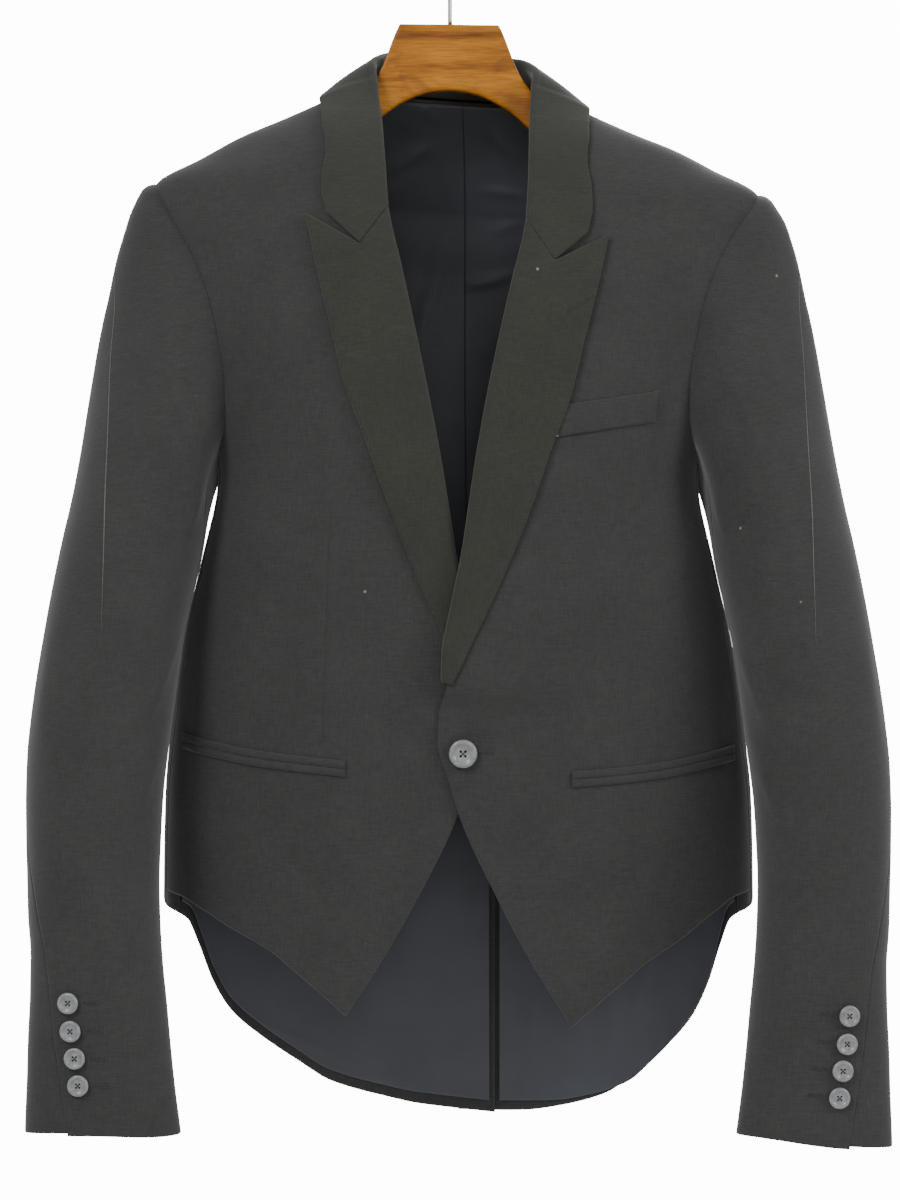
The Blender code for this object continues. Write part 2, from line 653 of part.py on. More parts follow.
def build_body():
    for side, word in SIDE_NAMES.items():
        panel(f"front_{word}", lambda lift: front_grid(side, lift), CLOTH, side, WOOL)
        panel(f"side_{word}", side_grid, CLOTH, side, WOOL)
        past = VENT_UNDERLAP if side == RIGHT else 0.0
        panel(f"back_{word}", lambda lift: back_grid(side, lift, past), CLOTH, side, WOOL)
        past = LINING_UNDERLAP if side == RIGHT else -LINING_SETBACK

        def lining(lift):
            return back_grid(side, lift + LINING_LIFT, past, LINING_SHORT, 1)

        panel(f"lining_{word}", lining, LINING_CLOTH, side, SATIN)


def build_sleeves():
    for side, word in SIDE_NAMES.items():
        for kind, turns, shorter in (("top", TOP_TURNS, 0.0), ("under", UNDER_TURNS, UNDER_SHORTER)):
            def sleeve(lift):
                return sleeve_grid(turns, lift, shorter)

            panel(f"{kind}_sleeve_{word}", sleeve, SLEEVE_CLOTH, side, WOOL)


def build_collar_and_lapels():
    wall("collar", collar_grid(0.0), collar_grid(FOLDED_CLOTH), WOOL)
    for side, word in SIDE_NAMES.items():
        outer, inner = lapel_grid(side, 0.0), lapel_grid(side, FOLDED_CLOTH)
        wall(f"lapel_{word}", hung_grid(outer, side), hung_grid(inner, side), WOOL)


def build_pockets():
    ends = (POCKET.places[0], POCKET.places[-1])
    for side, word in SIDE_NAMES.items():
        for place, shift in (("upper", -JET_HEIGHT - SEAM_GAP / 2), ("lower", SEAM_GAP / 2)):
            def jet(lift):
                def top(x):
                    return POCKET.at(x, "drop") + shift

                def foot(x):
                    return POCKET.at(x, "drop") + shift + JET_HEIGHT

                return strip_grid(top, foot, (ends, ends), lift + SEAT_GAP + JET_CLOTH, JET_COLUMNS, side)

            panel(f"jet_{place}_{word}", jet, JET_CLOTH, side, WOOL)

    def welt(lift):
        ends = (WELT_TOP.places, WELT_FOOT.places)
        top, foot = (lambda x: WELT_TOP.at(x, "drop")), (lambda x: WELT_FOOT.at(x, "drop"))
        return strip_grid(top, foot, ends, lift + SEAT_GAP + WELT_CLOTH, WELT_COLUMNS, LEFT)

    panel("breast_welt", welt, WELT_CLOTH, LEFT, WOOL)


# Buttons: diameter and thickness, and where each is sewn
FRONT_BUTTON = (20, 4.0)
CUFF_BUTTON = (15, 3.2)
FRONT_BUTTON_X, FRONT_BUTTON_DROP = 3.1, 594.4
CUFF_BUTTONS = ((68, 770.6), (70, 790), (73, 808.7), (75, 827.4))
BUTTON_SIDES = 14
HOLE_SIDES = 5


def button_mesh(name, diameter, thickness):
    """Four-hole button turned round its axis, with a dished middle and a rounded rim; its back is at z 0."""
    radius = diameter / 2
    profile = (
        (0, 0.7), (0.6, 0.7), (0.72, 1.0), (0.9, 1.0), (1.0, 0.55), (0.85, 0), (0, 0),
    )
    mesh = bpy.data.meshes.new(f"{name}_profile")
    points = [(share * radius * MM, 0, height * thickness * MM) for share, height in profile]
    mesh.from_pydata(points, [(i, i + 1) for i in range(len(points) - 1)], [])
    turned = bpy.data.objects.new(f"{name}_turned", mesh)
    CUTTERS.objects.link(turned)
    screw = turned.modifiers.new("Turn", "SCREW")
    screw.steps = screw.render_steps = BUTTON_SIDES
    screw.use_merge_vertices = True
    screw.merge_threshold = 0.00005
    drills = bmesh.new()
    spread = 0.16 * diameter
    for quarter in range(4):
        turn = pi / 4 + quarter * pi / 2
        at = Matrix.Translation(Vector((cos(turn), sin(turn), 0)) * spread * MM * 0.7)
        bmesh.ops.create_cone(
            drills, cap_ends=True, segments=HOLE_SIDES, radius1=0.045 * diameter * MM,
            radius2=0.045 * diameter * MM, depth=4 * thickness * MM, matrix=at,
        )
    drill_data = bpy.data.meshes.new(f"{name}_drills")
    drills.to_mesh(drill_data)
    drills.free()
    drill = bpy.data.objects.new(f"{name}_drills", drill_data)
    CUTTERS.objects.link(drill)
    cut = turned.modifiers.new("Holes", "BOOLEAN")
    cut.operation, cut.solver, cut.object = "DIFFERENCE", "EXACT", drill
    bpy.context.view_layer.update()
    evaluated = turned.evaluated_get(bpy.context.evaluated_depsgraph_get())
    made = bpy.data.meshes.new_from_object(evaluated)
    made.name = name
    made.materials.clear()
    made.materials.append(HORN)
    bpy.data.objects.remove(turned)
    drill.display_type = "WIRE"
    drill.hide_render = drill.hide_viewport = True
    return made


def sew_on(name, mesh, place, side):
    """Put a button on the cloth: place gives a point of the +X half at a lift."""
    seat, above = hung(place(SEAT_GAP), side), hung(place(SEAT_GAP + 1), side)
    made = bpy.data.objects.new(name, mesh)
    made.location = seat
    made.rotation_mode = "QUATERNION"
    made.rotation_quaternion = (above - seat).to_track_quat("Z", "Y")
    JACKET.objects.link(made)


def build_buttons():
    front_mesh = button_mesh("front_button_mesh", *FRONT_BUTTON)

    def on_edge(lift):
        return on_front(FRONT_BUTTON_X, FRONT_BUTTON_DROP, lift, LEFT)

    sew_on("front_button", front_mesh, on_edge, LEFT)
    cuff_mesh = button_mesh("cuff_button_mesh", *CUFF_BUTTON)
    for side, word in SIDE_NAMES.items():
        for number, (turn, drop) in enumerate(CUFF_BUTTONS, start=1):
            name = f"cuff_button_{word}_{number}"
            sew_on(name, cuff_mesh, lambda lift: sleeve_point(turn, drop, lift), side)


# Hanger: a board at the neck that widens into rounded arms; it tilts a little with the jacket
HANGER = Table(
    "x top foot depth",
    (0, 75, 122.6, 6), (35, 75, 132.6, 6), (37, 78, 133.8, 6), (48.5, 106.5, 141.9, 6),
    (56, 118.6, 148.3, 6), (66, 128, 156, 6.6), (92, 143, 174, 12), (120, 153.8, 187, 15),
    (150, 167, 198, 17), (180, 182, 210, 18), (196, 190.3, 214.5, 16), (203, 195.5, 212, 11),
)
HANGER_STATIONS = (0, 18, 35, 37, 42.5, 48.5, 56, 66, 80, 100, 120, 140, 160, 180, 192, 199, 203)
HANGER_CENTRE = -0.5
HANGER_TILT = 2.5 / 200
HANGER_ROUNDNESS = 3.2
HANGER_SIDES = 12


def build_hanger():
    stations = [-x for x in HANGER_STATIONS[:0:-1]] + list(HANGER_STATIONS)
    mesh = bmesh.new()
    rings = []
    for x in stations:
        top, foot = HANGER.at(abs(x), "top"), HANGER.at(abs(x), "foot")
        middle, height = (top + foot) / 2 + HANGER_TILT * x, (foot - top) / 2
        ring = []
        for i in range(HANGER_SIDES):
            across, up = superellipse(360 * (i + 0.5) / HANGER_SIDES, HANGER_ROUNDNESS)
            y = HANGER.at(abs(x), "depth") * across
            ring.append(mesh.verts.new(Vector((x + HANGER_CENTRE, y, height * up - middle)) * MM))
        rings.append(ring)
    for ring, after in zip(rings, rings[1:]):
        for i in range(HANGER_SIDES):
            j = (i + 1) % HANGER_SIDES
            mesh.faces.new((ring[i], ring[j], after[j], after[i]))
    mesh.faces.new(rings[0])
    mesh.faces.new(rings[-1])
    bmesh.ops.recalc_face_normals(mesh, faces=mesh.faces[:])
    finished("hanger", mesh, WOOD)


HOOK_WIRE = 3.2
HOOK_INSIDE = 20
HOOK_START, HOOK_END = 200, -38
LEAVING_PULL, STEM_PULL = 26, 22
STEM_TOP, STEM_FOOT = 56, 74.4


def build_hook():
    """Round wire: over the rail from its open end, back to the middle and down the stem."""
    radius = HOOK_INSIDE + HOOK_WIRE / 2
    middle = Vector((0, 0, -HOOK_INSIDE))
    route = []
    arc_steps, bend_steps = 18, 8
    for i in range(arc_steps + 1):
        turn = radians(blend(HOOK_START, HOOK_END, i / arc_steps))
        route.append(middle + Vector((cos(turn), 0, sin(turn))) * radius)
    turn = radians(HOOK_END)
    leaving = Vector((sin(turn), 0, -cos(turn))) * LEAVING_PULL
    stem = Vector((0, 0, -STEM_TOP))
    start = route[-1]
    for i in range(1, bend_steps + 1):
        route.append(hermite(start, leaving, stem, Vector((0, 0, -STEM_PULL)), i / bend_steps))
    route.append(Vector((0, 0, -STEM_FOOT)))
    curve = bpy.data.curves.new("hook", "CURVE")
    curve.dimensions = "3D"
    curve.bevel_depth = HOOK_WIRE / 2 * MM
    curve.bevel_resolution = 2
    curve.use_fill_caps = True
    spline = curve.splines.new("POLY")
    spline.points.add(len(route) - 1)
    for point, place in zip(spline.points, route):
        point.co = (*(place * MM), 1.0)
    curve.materials.append(STEEL)
    JACKET.objects.link(bpy.data.objects.new("hook", curve))


for old in list(bpy.data.objects):
    bpy.data.objects.remove(old)
JACKET = collection("spencer_jacket")
CUTTERS = collection("cutters")
WOOL = material("charcoal_wool", (0.047, 0.047, 0.045), 0.85)
SATIN = material("navy_lining_satin", (0.030, 0.033, 0.042), 0.38)
HORN = material("grey_horn", (0.10, 0.10, 0.10), 0.35)
WOOD = material("stained_wood", (0.40, 0.19, 0.03), 0.42)
STEEL = material("hook_steel", (0.45, 0.45, 0.46), 0.28, 1.0)

build_body()
build_sleeves()
build_collar_and_lapels()
build_pockets()
build_buttons()
build_hanger()
build_hook()
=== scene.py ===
# %% [markdown]
# A tailored spencer jacket on its wooden suit hanger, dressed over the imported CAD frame.
# The frame gives the places and the sizes; this lesson gives the cloth, the sewing and the finishes.

# %% Load the frame
from math import cos, pi, radians, sin

import bmesh
import bpy
import numpy as np
from mathutils import Matrix, Vector


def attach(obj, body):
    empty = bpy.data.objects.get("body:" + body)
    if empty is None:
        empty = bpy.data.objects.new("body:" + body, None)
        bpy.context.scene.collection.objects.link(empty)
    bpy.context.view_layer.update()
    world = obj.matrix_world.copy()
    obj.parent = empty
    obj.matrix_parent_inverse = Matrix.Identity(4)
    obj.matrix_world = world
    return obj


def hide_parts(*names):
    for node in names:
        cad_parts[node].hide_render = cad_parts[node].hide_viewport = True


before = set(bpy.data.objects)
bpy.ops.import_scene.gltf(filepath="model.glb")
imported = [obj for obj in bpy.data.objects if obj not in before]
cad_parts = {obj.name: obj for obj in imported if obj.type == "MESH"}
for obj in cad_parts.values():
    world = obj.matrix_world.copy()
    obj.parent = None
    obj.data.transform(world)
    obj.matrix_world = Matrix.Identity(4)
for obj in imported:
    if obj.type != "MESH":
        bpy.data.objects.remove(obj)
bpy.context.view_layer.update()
MM = 0.001
LEFT, RIGHT = 1, -1
SIDE_NAMES = {LEFT: "left", RIGHT: "right"}
print("CAD nodes:", len(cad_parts))

# %% [markdown]
# The photograph was taken level with the middle of the jacket and from a few steps away, so that the jacket
# hardly narrows with distance. A long lens on a level camera gives the same view.

# %% Camera
FOCAL_MM = 137.14
CAMERA_PLACE = (0.0, -3.28, -0.4875)
camera_data = bpy.data.cameras.new("studio_camera")
camera_data.lens = FOCAL_MM
camera_data.sensor_width = 36
camera = bpy.data.objects.new("studio_camera", camera_data)
camera.location = CAMERA_PLACE
camera.rotation_euler = (radians(90), 0, 0)
bpy.context.scene.collection.objects.link(camera)
bpy.context.scene.camera = camera
print("camera stands", abs(CAMERA_PLACE[1]), "m in front")

# %% [markdown]
# A pattern cutter writes measures in tables. Here each table is read at any place between its rows by a
# curve that never overshoots, and it reads whole arrays of places at once, so that fine cloth is made fast.


# %% Tables of measures
class Table:
    """Rows under named columns, read between the rows by a monotone cubic in the first column."""

    def __init__(self, names, *rows):
        self.places = np.array([row[0] for row in rows], float)
        self.columns = {}
        for index, name in enumerate(names.split()[1:], start=1):
            values = np.array([row[index] for row in rows], float)
            self.columns[name] = (values, monotone_slopes(self.places, values))

    def at(self, place, name):
        values, slopes = self.columns[name]
        place = np.clip(place, self.places[0], self.places[-1])
        row = np.clip(np.searchsorted(self.places, place, side="right") - 1, 0, len(values) - 2)
        span = self.places[row + 1] - self.places[row]
        share = (place - self.places[row]) / span
        return hermite(values[row], slopes[row] * span, values[row + 1], slopes[row + 1] * span, share)


def monotone_slopes(places, values):
    steps = np.diff(values) / np.diff(places)
    first, second = steps[:-1], steps[1:]
    total = np.where(first + second == 0, 1, first + second)
    inner = np.where(first * second > 0, 2 * first * second / total, 0.0)
    return np.concatenate(([steps[0]], inner, [steps[-1]]))


def hermite(start, lead, end, arrive, share):
    square, cube = share * share, share ** 3
    from_start = start * (2 * cube - 3 * square + 1) + lead * (cube - 2 * square + share)
    return from_start + end * (3 * square - 2 * cube) + arrive * (cube - square)


def smooth(value, low, high):
    share = np.clip((value - low) / (high - low), 0.0, 1.0)
    return share * share * (3 - 2 * share)


def blend(start, end, share):
    return start + (end - start) * share


def vectors(x, y, z):
    return np.stack(np.broadcast_arrays(x, y, z), axis=-1).astype(float)


def unit(vector):
    return vector / np.linalg.norm(vector, axis=-1, keepdims=True)


def lifted(place, direction, lift):
    return place + direction * np.asarray(lift, float)[..., None]


# %% [markdown]
# The body of the jacket is a tube of cloth that the hanger spreads. Its cross-section is a squared round,
# so one table of widths and depths, read at any drop below the hook, gives the whole form. The tables are
# those of the CAD source, so each sewn piece lies exactly on its solid.

# %% Body form
BODY = Table(
    "drop half_width front back",
    (118, 62, 6, 48), (126, 78, 18, 54), (136, 98, 30, 60), (149, 127, 41, 66), (161, 156, 49, 70),
    (176, 184, 57, 74), (193, 215, 64, 78), (199, 217.5, 66, 79.5), (205, 217.5, 68, 81),
    (225, 213, 74, 84), (255, 205, 80, 88),
    (286, 196, 85, 89.5), (318, 188, 88, 90), (349, 181.5, 90, 90), (372, 177, 91, 89),
    (400, 172, 92, 87), (459, 183, 92, 81), (516, 195, 90, 76), (572, 203, 88.5, 74.5),
    (628, 209, 86, 75), (690, 211, 81, 77.5), (790, 212, 74, 82), (862, 212, 72, 84),
)
BODY_ROUNDNESS = 2.5
ARMHOLE = Table(
    "turn drop front back",
    (0, 193, 90, 90), (10, 199, 74, 104), (29, 220, 63.5, 116), (58, 255, 57, 121),
    (82, 286, 55.5, 122), (104, 318, 56, 121), (125, 349, 58.5, 119.5), (143, 372, 64, 117),
    (160, 388, 76, 112),
)
UNDERARM = Table("angle drop", (76, 388), (82, 396), (94, 402), (104, 397), (112, 388))
FRONT_SEAM, BACK_SEAM, SHOULDER, CENTRE_BACK = 76, 112, 90, 180
ARMPIT_TURN = 160
ARMHOLE_TOP, ARMHOLE_FOOT = 193, 388
SEAM_GAP, ARMHOLE_GAP, SEAT_GAP = -0.3, -0.8, 0.35


def superellipse(angle, roundness):
    """Cosine and sine of an angle, pushed out from a circle to a squarer round."""
    across, along = np.cos(np.radians(angle)), np.sin(np.radians(angle))
    reach = (np.abs(across) ** roundness + np.abs(along) ** roundness) ** (1 / roundness)
    return across / reach, along / reach


def body_place(angle, drop):
    along, out = superellipse(angle, BODY_ROUNDNESS)
    depth = np.where(along > 0, BODY.at(drop, "front"), BODY.at(drop, "back"))
    return vectors(BODY.at(drop, "half_width") * out, -depth * along, -np.asarray(drop, float))


def body_normal(angle, drop):
    down = body_place(angle, drop + 1) - body_place(angle, drop - 1)
    across = body_place(angle + 0.5, drop) - body_place(angle - 0.5, drop)
    return unit(np.cross(down, across))


def body_point(angle, drop, lift):
    return lifted(body_place(angle, drop), body_normal(angle, drop), lift)


def angle_of(x, drop):
    """Angle on the front half at a distance from centre front."""
    share = np.minimum(np.abs(x) / BODY.at(drop, "half_width"), 1.0)
    depth = (1 - share ** BODY_ROUNDNESS) ** (1 / BODY_ROUNDNESS)
    return np.copysign(np.degrees(np.arctan2(share, depth)), x)


def moved_angle(angle, drop, distance):
    """The angle that lies a distance further round the cloth."""
    step = body_place(angle + 0.5, drop) - body_place(angle - 0.5, drop)
    return angle + distance / np.linalg.norm(step, axis=-1)


# %% [markdown]
# Hung cloth is never flat. Each main fold is listed as a soft ridge or trough: a line on the cloth with a
# width and a height, uneven along its length and fading at both ends. Everything that is sewn to a panel
# reads the same folds, so a pocket or a button rides up and down with its cloth.

# %% Folds listed one by one
FRONT_FOLDS = (
    # x and drop where it starts, x and drop where it ends, width, height
    (150, 235, 138, 430, 15, -2.2),
    (172, 250, 160, 400, 9, 1.6),
    (128, 250, 122, 390, 12, 1.2),
    (112, 400, 128, 640, 22, -1.6),
    (150, 440, 165, 690, 20, 1.6),
    (182, 480, 196, 680, 12, -1.4),
    (60, 520, 8, 585, 8, 1.3),
    (75, 560, 10, 600, 7, -1.2),
    (58, 640, 14, 604, 7, 1.1),
    (60, 690, 100, 640, 18, 1.4),
    (95, 720, 130, 650, 15, -1.2),
    (100, 175, 135, 240, 14, -1.2),
)
BACK_FOLDS = (
    (60, 200, 75, 420, 26, 2.0),
    (150, 260, 132, 400, 14, -2.2),
    (175, 270, 160, 400, 9, 1.6),
    (110, 330, 118, 640, 20, -1.8),
    (40, 430, 46, 640, 20, 1.5),
    (150, 470, 168, 690, 20, 1.8),
    (20, 520, 95, 545, 14, -1.3),
    (30, 560, 120, 575, 12, 1.0),
    (95, 650, 104, 800, 20, 1.6),
    (60, 690, 66, 850, 16, -1.5),
)
SIDE_FOLDS = (
    (80, 420, 84, 690, 7, 1.2),
    (97, 430, 100, 690, 8, -1.0),
)


def fold_height(folds, across, drop):
    """Height of all the folds at places given by a distance across and a drop."""
    height = np.zeros(np.broadcast(across, drop).shape)
    for from_across, from_drop, to_across, to_drop, width, rise in folds:
        run = np.hypot(to_across - from_across, to_drop - from_drop)
        step_across, step_drop = (to_across - from_across) / run, (to_drop - from_drop) / run
        along = ((across - from_across) * step_across + (drop - from_drop) * step_drop) / run
        off = (drop - from_drop) * step_across - (across - from_across) * step_drop
        off = off + width * 0.35 * np.sin(along * 4.1 + from_across)
        spread = width * (0.8 + 0.3 * np.sin(along * 2.7 + from_drop))
        fade = smooth(along, -0.1, 0.35) * (1 - smooth(along, 0.6, 1.1))
        height = height + rise * fade * np.exp(-((off / spread) ** 2))
    return height


# %% [markdown]
# The wearer's left front laps over the right one and carries the button, and at the vent the right back
# runs on under the left one. Both are small lifts of the cloth, read from tables.

# %% Laps, lean and places on the cloth
EDGE = Table(
    "drop inset",
    (118, 60), (124, 56), (132, 54), (146, 52.3), (179, 50.5), (215, 48), (259, 38.3), (301, 29),
    (345, 20), (389.5, 11.8), (424.5, 6.3), (452.5, 2.1), (481, -3.5), (501, -7.7), (524.6, -11.9),
    (550.5, -12.6), (588, -14.7), (606, -9.8), (620, -5.2), (637, 0), (688, 23.6), (737, 50),
    (783.6, 79.5),
)
TUCK = Table("drop back", (118, 6.0), (141, 5.4), (165, 4.0), (547, 4.0), (566, 0.0))
FRONT_HEM = Table(
    "angle drop",
    (21.3, 783.6), (25.4, 770), (31.6, 751), (36.2, 738), (44.7, 722), (53.1, 707.6), (62.9, 697.5),
    (76, 694),
)
BACK_HEM = Table(
    "angle drop",
    (76, 694), (90, 704), (104, 710), (112, 714), (117, 719), (122, 740), (126, 765), (131, 789),
    (138, 811), (145, 830), (151, 845), (160, 855), (167, 859.5), (180, 862),
)
FRONT_POINT_DROP = 783.6
OVERLAP = Table("drop lift", (365, 0), (452, 7.6), (545, 7.6), (566, 2.9), (640, 2.9), (720, 0))
OVERLAP_FULL, OVERLAP_END = 8, 110
VENT_START, VENT_FULL = 655, 672
VENT_UNDERLAP, VENT_SINK = 27, 2.8
SINK_DROPS, SINK_SPREAD = (620, 652), (30, 60)
LINING_UNDERLAP, LINING_SETBACK, LINING_SHORT = 23, 30, 9
HANG = Table(
    "drop centre lean outer_lean",
    (85, 3, 4, 4), (118, 3, 4.5, 4), (160, 4.3, 4.7, 4), (198, 5, 6, 4), (225, 5, 8, 0.8),
    (310, 5, 6.4, 0.4), (450, 6, 5, 3), (620, 6, 4.5, 4.5), (870, 6, 5, 5),
)
LEAN_REACH = 70
OUTER_FROM, OUTER_TO = 130, 175
HEM_LEVEL_FROM, HEM_LEVEL_TO = 580, 690
HEM_LEVEL_AT, HEM_LEVEL_WIDTH = 200, 45


def front_folds(angle, drop):
    """Height of the folds on a front, calm near its edges so that seams stay joined."""
    x = body_place(angle, drop)[..., 0]
    calm = smooth(FRONT_SEAM - angle, 0, 6) * smooth(drop, 150, 200)
    return fold_height(FRONT_FOLDS, x, drop) * calm


def back_folds(angle, drop):
    x = body_place(angle, drop)[..., 0]
    calm = smooth(angle - BACK_SEAM, 0, 8) * smooth(drop, 150, 200) * smooth(CENTRE_BACK - angle, 0, 8)
    return fold_height(BACK_FOLDS, x, drop) * calm


def front_point(angle, drop, lift, side):
    """Place on a front, with the lap of the wearer's left front and the folds."""
    lift = lift + front_folds(angle, drop)
    if side == LEFT:
        x = body_place(angle, drop)[..., 0]
        lift = lift + OVERLAP.at(drop, "lift") * (1 - smooth(x, OVERLAP_FULL, OVERLAP_END))
    return body_point(angle, drop, lift)


def on_front(x, drop, lift, side):
    return front_point(angle_of(x, drop), drop, lift, side)


def back_point(angle, drop, lift, side):
    """Place on a back, with the wearer's right back sunk under the left one at the vent."""
    lift = lift + back_folds(angle, drop)
    if side == RIGHT:
        x = body_place(angle, drop)[..., 0]
        lift = lift - VENT_SINK * smooth(drop, *SINK_DROPS) * (1 - smooth(x, *SINK_SPREAD))
    return body_point(angle, drop, lift)


def hung(point, side):
    """World places in metres of points of the +X half, after the mirror and the jacket's lean."""
    x, drop = side * point[..., 0], -point[..., 2]
    level = smooth(drop, HEM_LEVEL_FROM, HEM_LEVEL_TO)
    level = level * np.exp(-(((np.abs(x) - HEM_LEVEL_AT) / HEM_LEVEL_WIDTH) ** 2))
    outwards = smooth(np.abs(x), OUTER_FROM, OUTER_TO)
    lean = blend(HANG.at(drop, "lean"), HANG.at(drop, "outer_lean"), outwards)
    lowered = drop + lean * np.tanh(x / LEAN_REACH) * (1 - level)
    return vectors(x + HANG.at(drop, "centre"), point[..., 1], -lowered) * MM


def armhole_place(turn):
    """Angle and drop on the armhole seam, from the shoulder (0) by the front (90) and the armpit (180)."""
    turn = np.mod(turn, 360)
    reach = np.minimum(turn, 360 - turn)
    share = (turn - ARMPIT_TURN) / (360 - 2 * ARMPIT_TURN)
    under_angle = blend(FRONT_SEAM, BACK_SEAM, share)
    seam_angle = np.where(turn < 180, ARMHOLE.at(reach, "front"), ARMHOLE.at(reach, "back"))
    under = reach > ARMPIT_TURN
    angle = np.where(under, under_angle, seam_angle)
    return angle, np.where(under, UNDERARM.at(under_angle, "drop"), ARMHOLE.at(reach, "drop"))


# %% [markdown]
# Cloth has two faces and turned edges. Each panel is made as a closed thin shell from a grid of its outer
# face and one of its inner face; near every border the two faces roll towards each other, as a seam or a
# turned edge does. Plain arrays build such a mesh at once, where bmesh would go vertex by vertex.


# %% Cloth shells
def edged(count, borders=(0.0012, 0.003, 0.006, 0.012)):
    """Shares from 0 to 1, closer together near both ends, where the cloth rolls into its edge."""
    middle = np.linspace(0, 1, count)[1:-1]
    middle = middle[(middle > borders[-1] * 1.5) & (middle < 1 - borders[-1] * 1.5)]
    near = np.array((0.0, *borders))
    return np.concatenate((near, middle, (1 - near)[::-1]))


def reach_in(grid):
    """Distance of each point of a grid from its nearest border, along the grid's own lines."""
    across = np.linalg.norm(np.diff(grid, axis=1), axis=-1)
    down = np.linalg.norm(np.diff(grid, axis=0), axis=-1)
    from_left = np.pad(np.cumsum(across, axis=1), ((0, 0), (1, 0)))
    from_top = np.pad(np.cumsum(down, axis=0), ((1, 0), (0, 0)))
    sides = (from_left, from_left[:, -1:] - from_left, from_top, from_top[-1:] - from_top)
    return np.minimum.reduce(sides)


def rolled(outer, inner, radius):
    """Both faces brought together towards the borders, over a radius in metres."""
    share = np.clip(1 - reach_in(outer) / radius, 0, 1)
    pull = (0.42 * (1 - np.sqrt(np.clip(1 - share ** 2, 0, 1))))[..., None]
    return blend(outer, inner, pull), blend(inner, outer, pull)


def grid_mesh(name, outer, inner):
    """Closed mesh of two grids of world points with the same rows and columns, facing outwards."""
    rows, columns = outer.shape[:2]
    count = rows * columns
    points = np.concatenate((outer.reshape(-1, 3), inner.reshape(-1, 3)))
    index = np.arange(count).reshape(rows, columns)
    a, b = index[:-1, :-1].ravel(), index[:-1, 1:].ravel()
    d, c = index[1:, :-1].ravel(), index[1:, 1:].ravel()
    top = np.stack((a, b, c, d), axis=1)
    under = np.stack((d, c, b, a), axis=1) + count
    loop = np.concatenate((index[0, :-1], index[:-1, -1], index[-1, :0:-1], index[:0:-1, 0]))
    following = np.roll(loop, -1)
    rim = np.stack((loop, loop + count, following + count, following), axis=1)
    faces = np.concatenate((top, under, rim))
    corners = points[faces]
    volume = np.einsum("ij,ij->i", corners[:, 0], np.cross(corners[:, 1], corners[:, 2])).sum()
    volume += np.einsum("ij,ij->i", corners[:, 0], np.cross(corners[:, 2], corners[:, 3])).sum()
    if volume < 0:
        faces = faces[:, ::-1]
    return mesh_of(name, points, faces)


def mesh_of(name, points, faces):
    """Smooth mesh from arrays of points and of four-cornered faces."""
    mesh = bpy.data.meshes.new(name)
    mesh.vertices.add(len(points))
    mesh.vertices.foreach_set("co", np.ascontiguousarray(points, dtype=np.float32).ravel())
    mesh.loops.add(faces.size)
    mesh.loops.foreach_set("vertex_index", np.ascontiguousarray(faces, dtype=np.int32).ravel())
    mesh.polygons.add(len(faces))
    mesh.polygons.foreach_set("loop_start", np.arange(0, faces.size, 4, dtype=np.int32))
    mesh.polygons.foreach_set("use_smooth", np.ones(len(faces), dtype=bool))
    mesh.update(calc_edges=True)
    mesh.validate()
    return mesh


def tube_mesh(name, points):
    """Closed tube through rings of points that turn about its way forwards, with quads as its two caps."""
    rings, count = points.shape[:2]
    index = np.arange(rings * count).reshape(rings, count)
    after = np.roll(index, -1, axis=1)
    faces = np.stack((index[:-1], after[:-1], after[1:], index[1:]), axis=-1).reshape(-1, 4)
    caps = []
    for ring, order in ((index[0], -1), (index[-1], 1)):
        for k in range(count // 2 - 1):
            caps.append((ring[k], ring[k + 1], ring[count - 2 - k], ring[count - 1 - k])[::order])
    return mesh_of(name, points.reshape(-1, 3), np.concatenate((faces, caps)))


def area_of(grid):
    """Area in square metres of a grid of points."""
    first = np.cross(grid[:-1, 1:] - grid[:-1, :-1], grid[1:, :-1] - grid[:-1, :-1])
    second = np.cross(grid[1:, :-1] - grid[1:, 1:], grid[:-1, 1:] - grid[1:, 1:])
    return (np.linalg.norm(first, axis=-1).sum() + np.linalg.norm(second, axis=-1).sum()) / 2


def spans_of(grid):
    """Greatest length across and down a grid, in metres."""
    across = np.linalg.norm(np.diff(grid, axis=1), axis=-1).sum(axis=1).max()
    down = np.linalg.norm(np.diff(grid, axis=0), axis=-1).sum(axis=0).max()
    return across, down


def place_piece(name, mesh, finish, nodes=()):
    """Put a mesh into the scene as a piece that rides on the jacket and stands for its CAD nodes."""
    mesh.materials.append(finish)
    made = bpy.data.objects.new(name, mesh)
    bpy.context.scene.collection.objects.link(made)
    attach(made, "root")
    if nodes:
        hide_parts(*nodes)
    return made


def cloth_piece(node, outer, inner, finish, slot="cloth", edge=1.6):
    """Closed shell of cloth that stands for its CAD node."""
    outer, inner = rolled(outer, inner, edge * MM)
    made = place_piece(f"sewn_{node}", grid_mesh(node, outer, inner), finish, (node,))
    width, length = spans_of(outer)
    print(f"{node}: {width:.3f} x {length:.3f} m, {area_of(outer):.4f} m2, {len(made.data.polygons)} faces")
    return made


# %% [markdown]
# Three effects serve more than one finish, so each is a node group, built once: an uneven tone, which all
# real materials have; threads, which run up and across the cloth; and lint, the few pale fibres that a dark
# cloth picks up. All of them read the object's own coordinates, so they stay put on the cloth.


# %% Node helpers
MIX_FACTOR, MIX_FIRST, MIX_SECOND, MIX_RESULT = 0, 6, 7, 2
RANGE_INPUTS = ("Value", "From Min", "From Max", "To Min", "To Max")


def feed(tree, socket, value):
    """Give an input a value, or link it to another node's output."""
    if isinstance(value, bpy.types.NodeSocket):
        tree.links.new(value, socket)
    else:
        socket.default_value = value


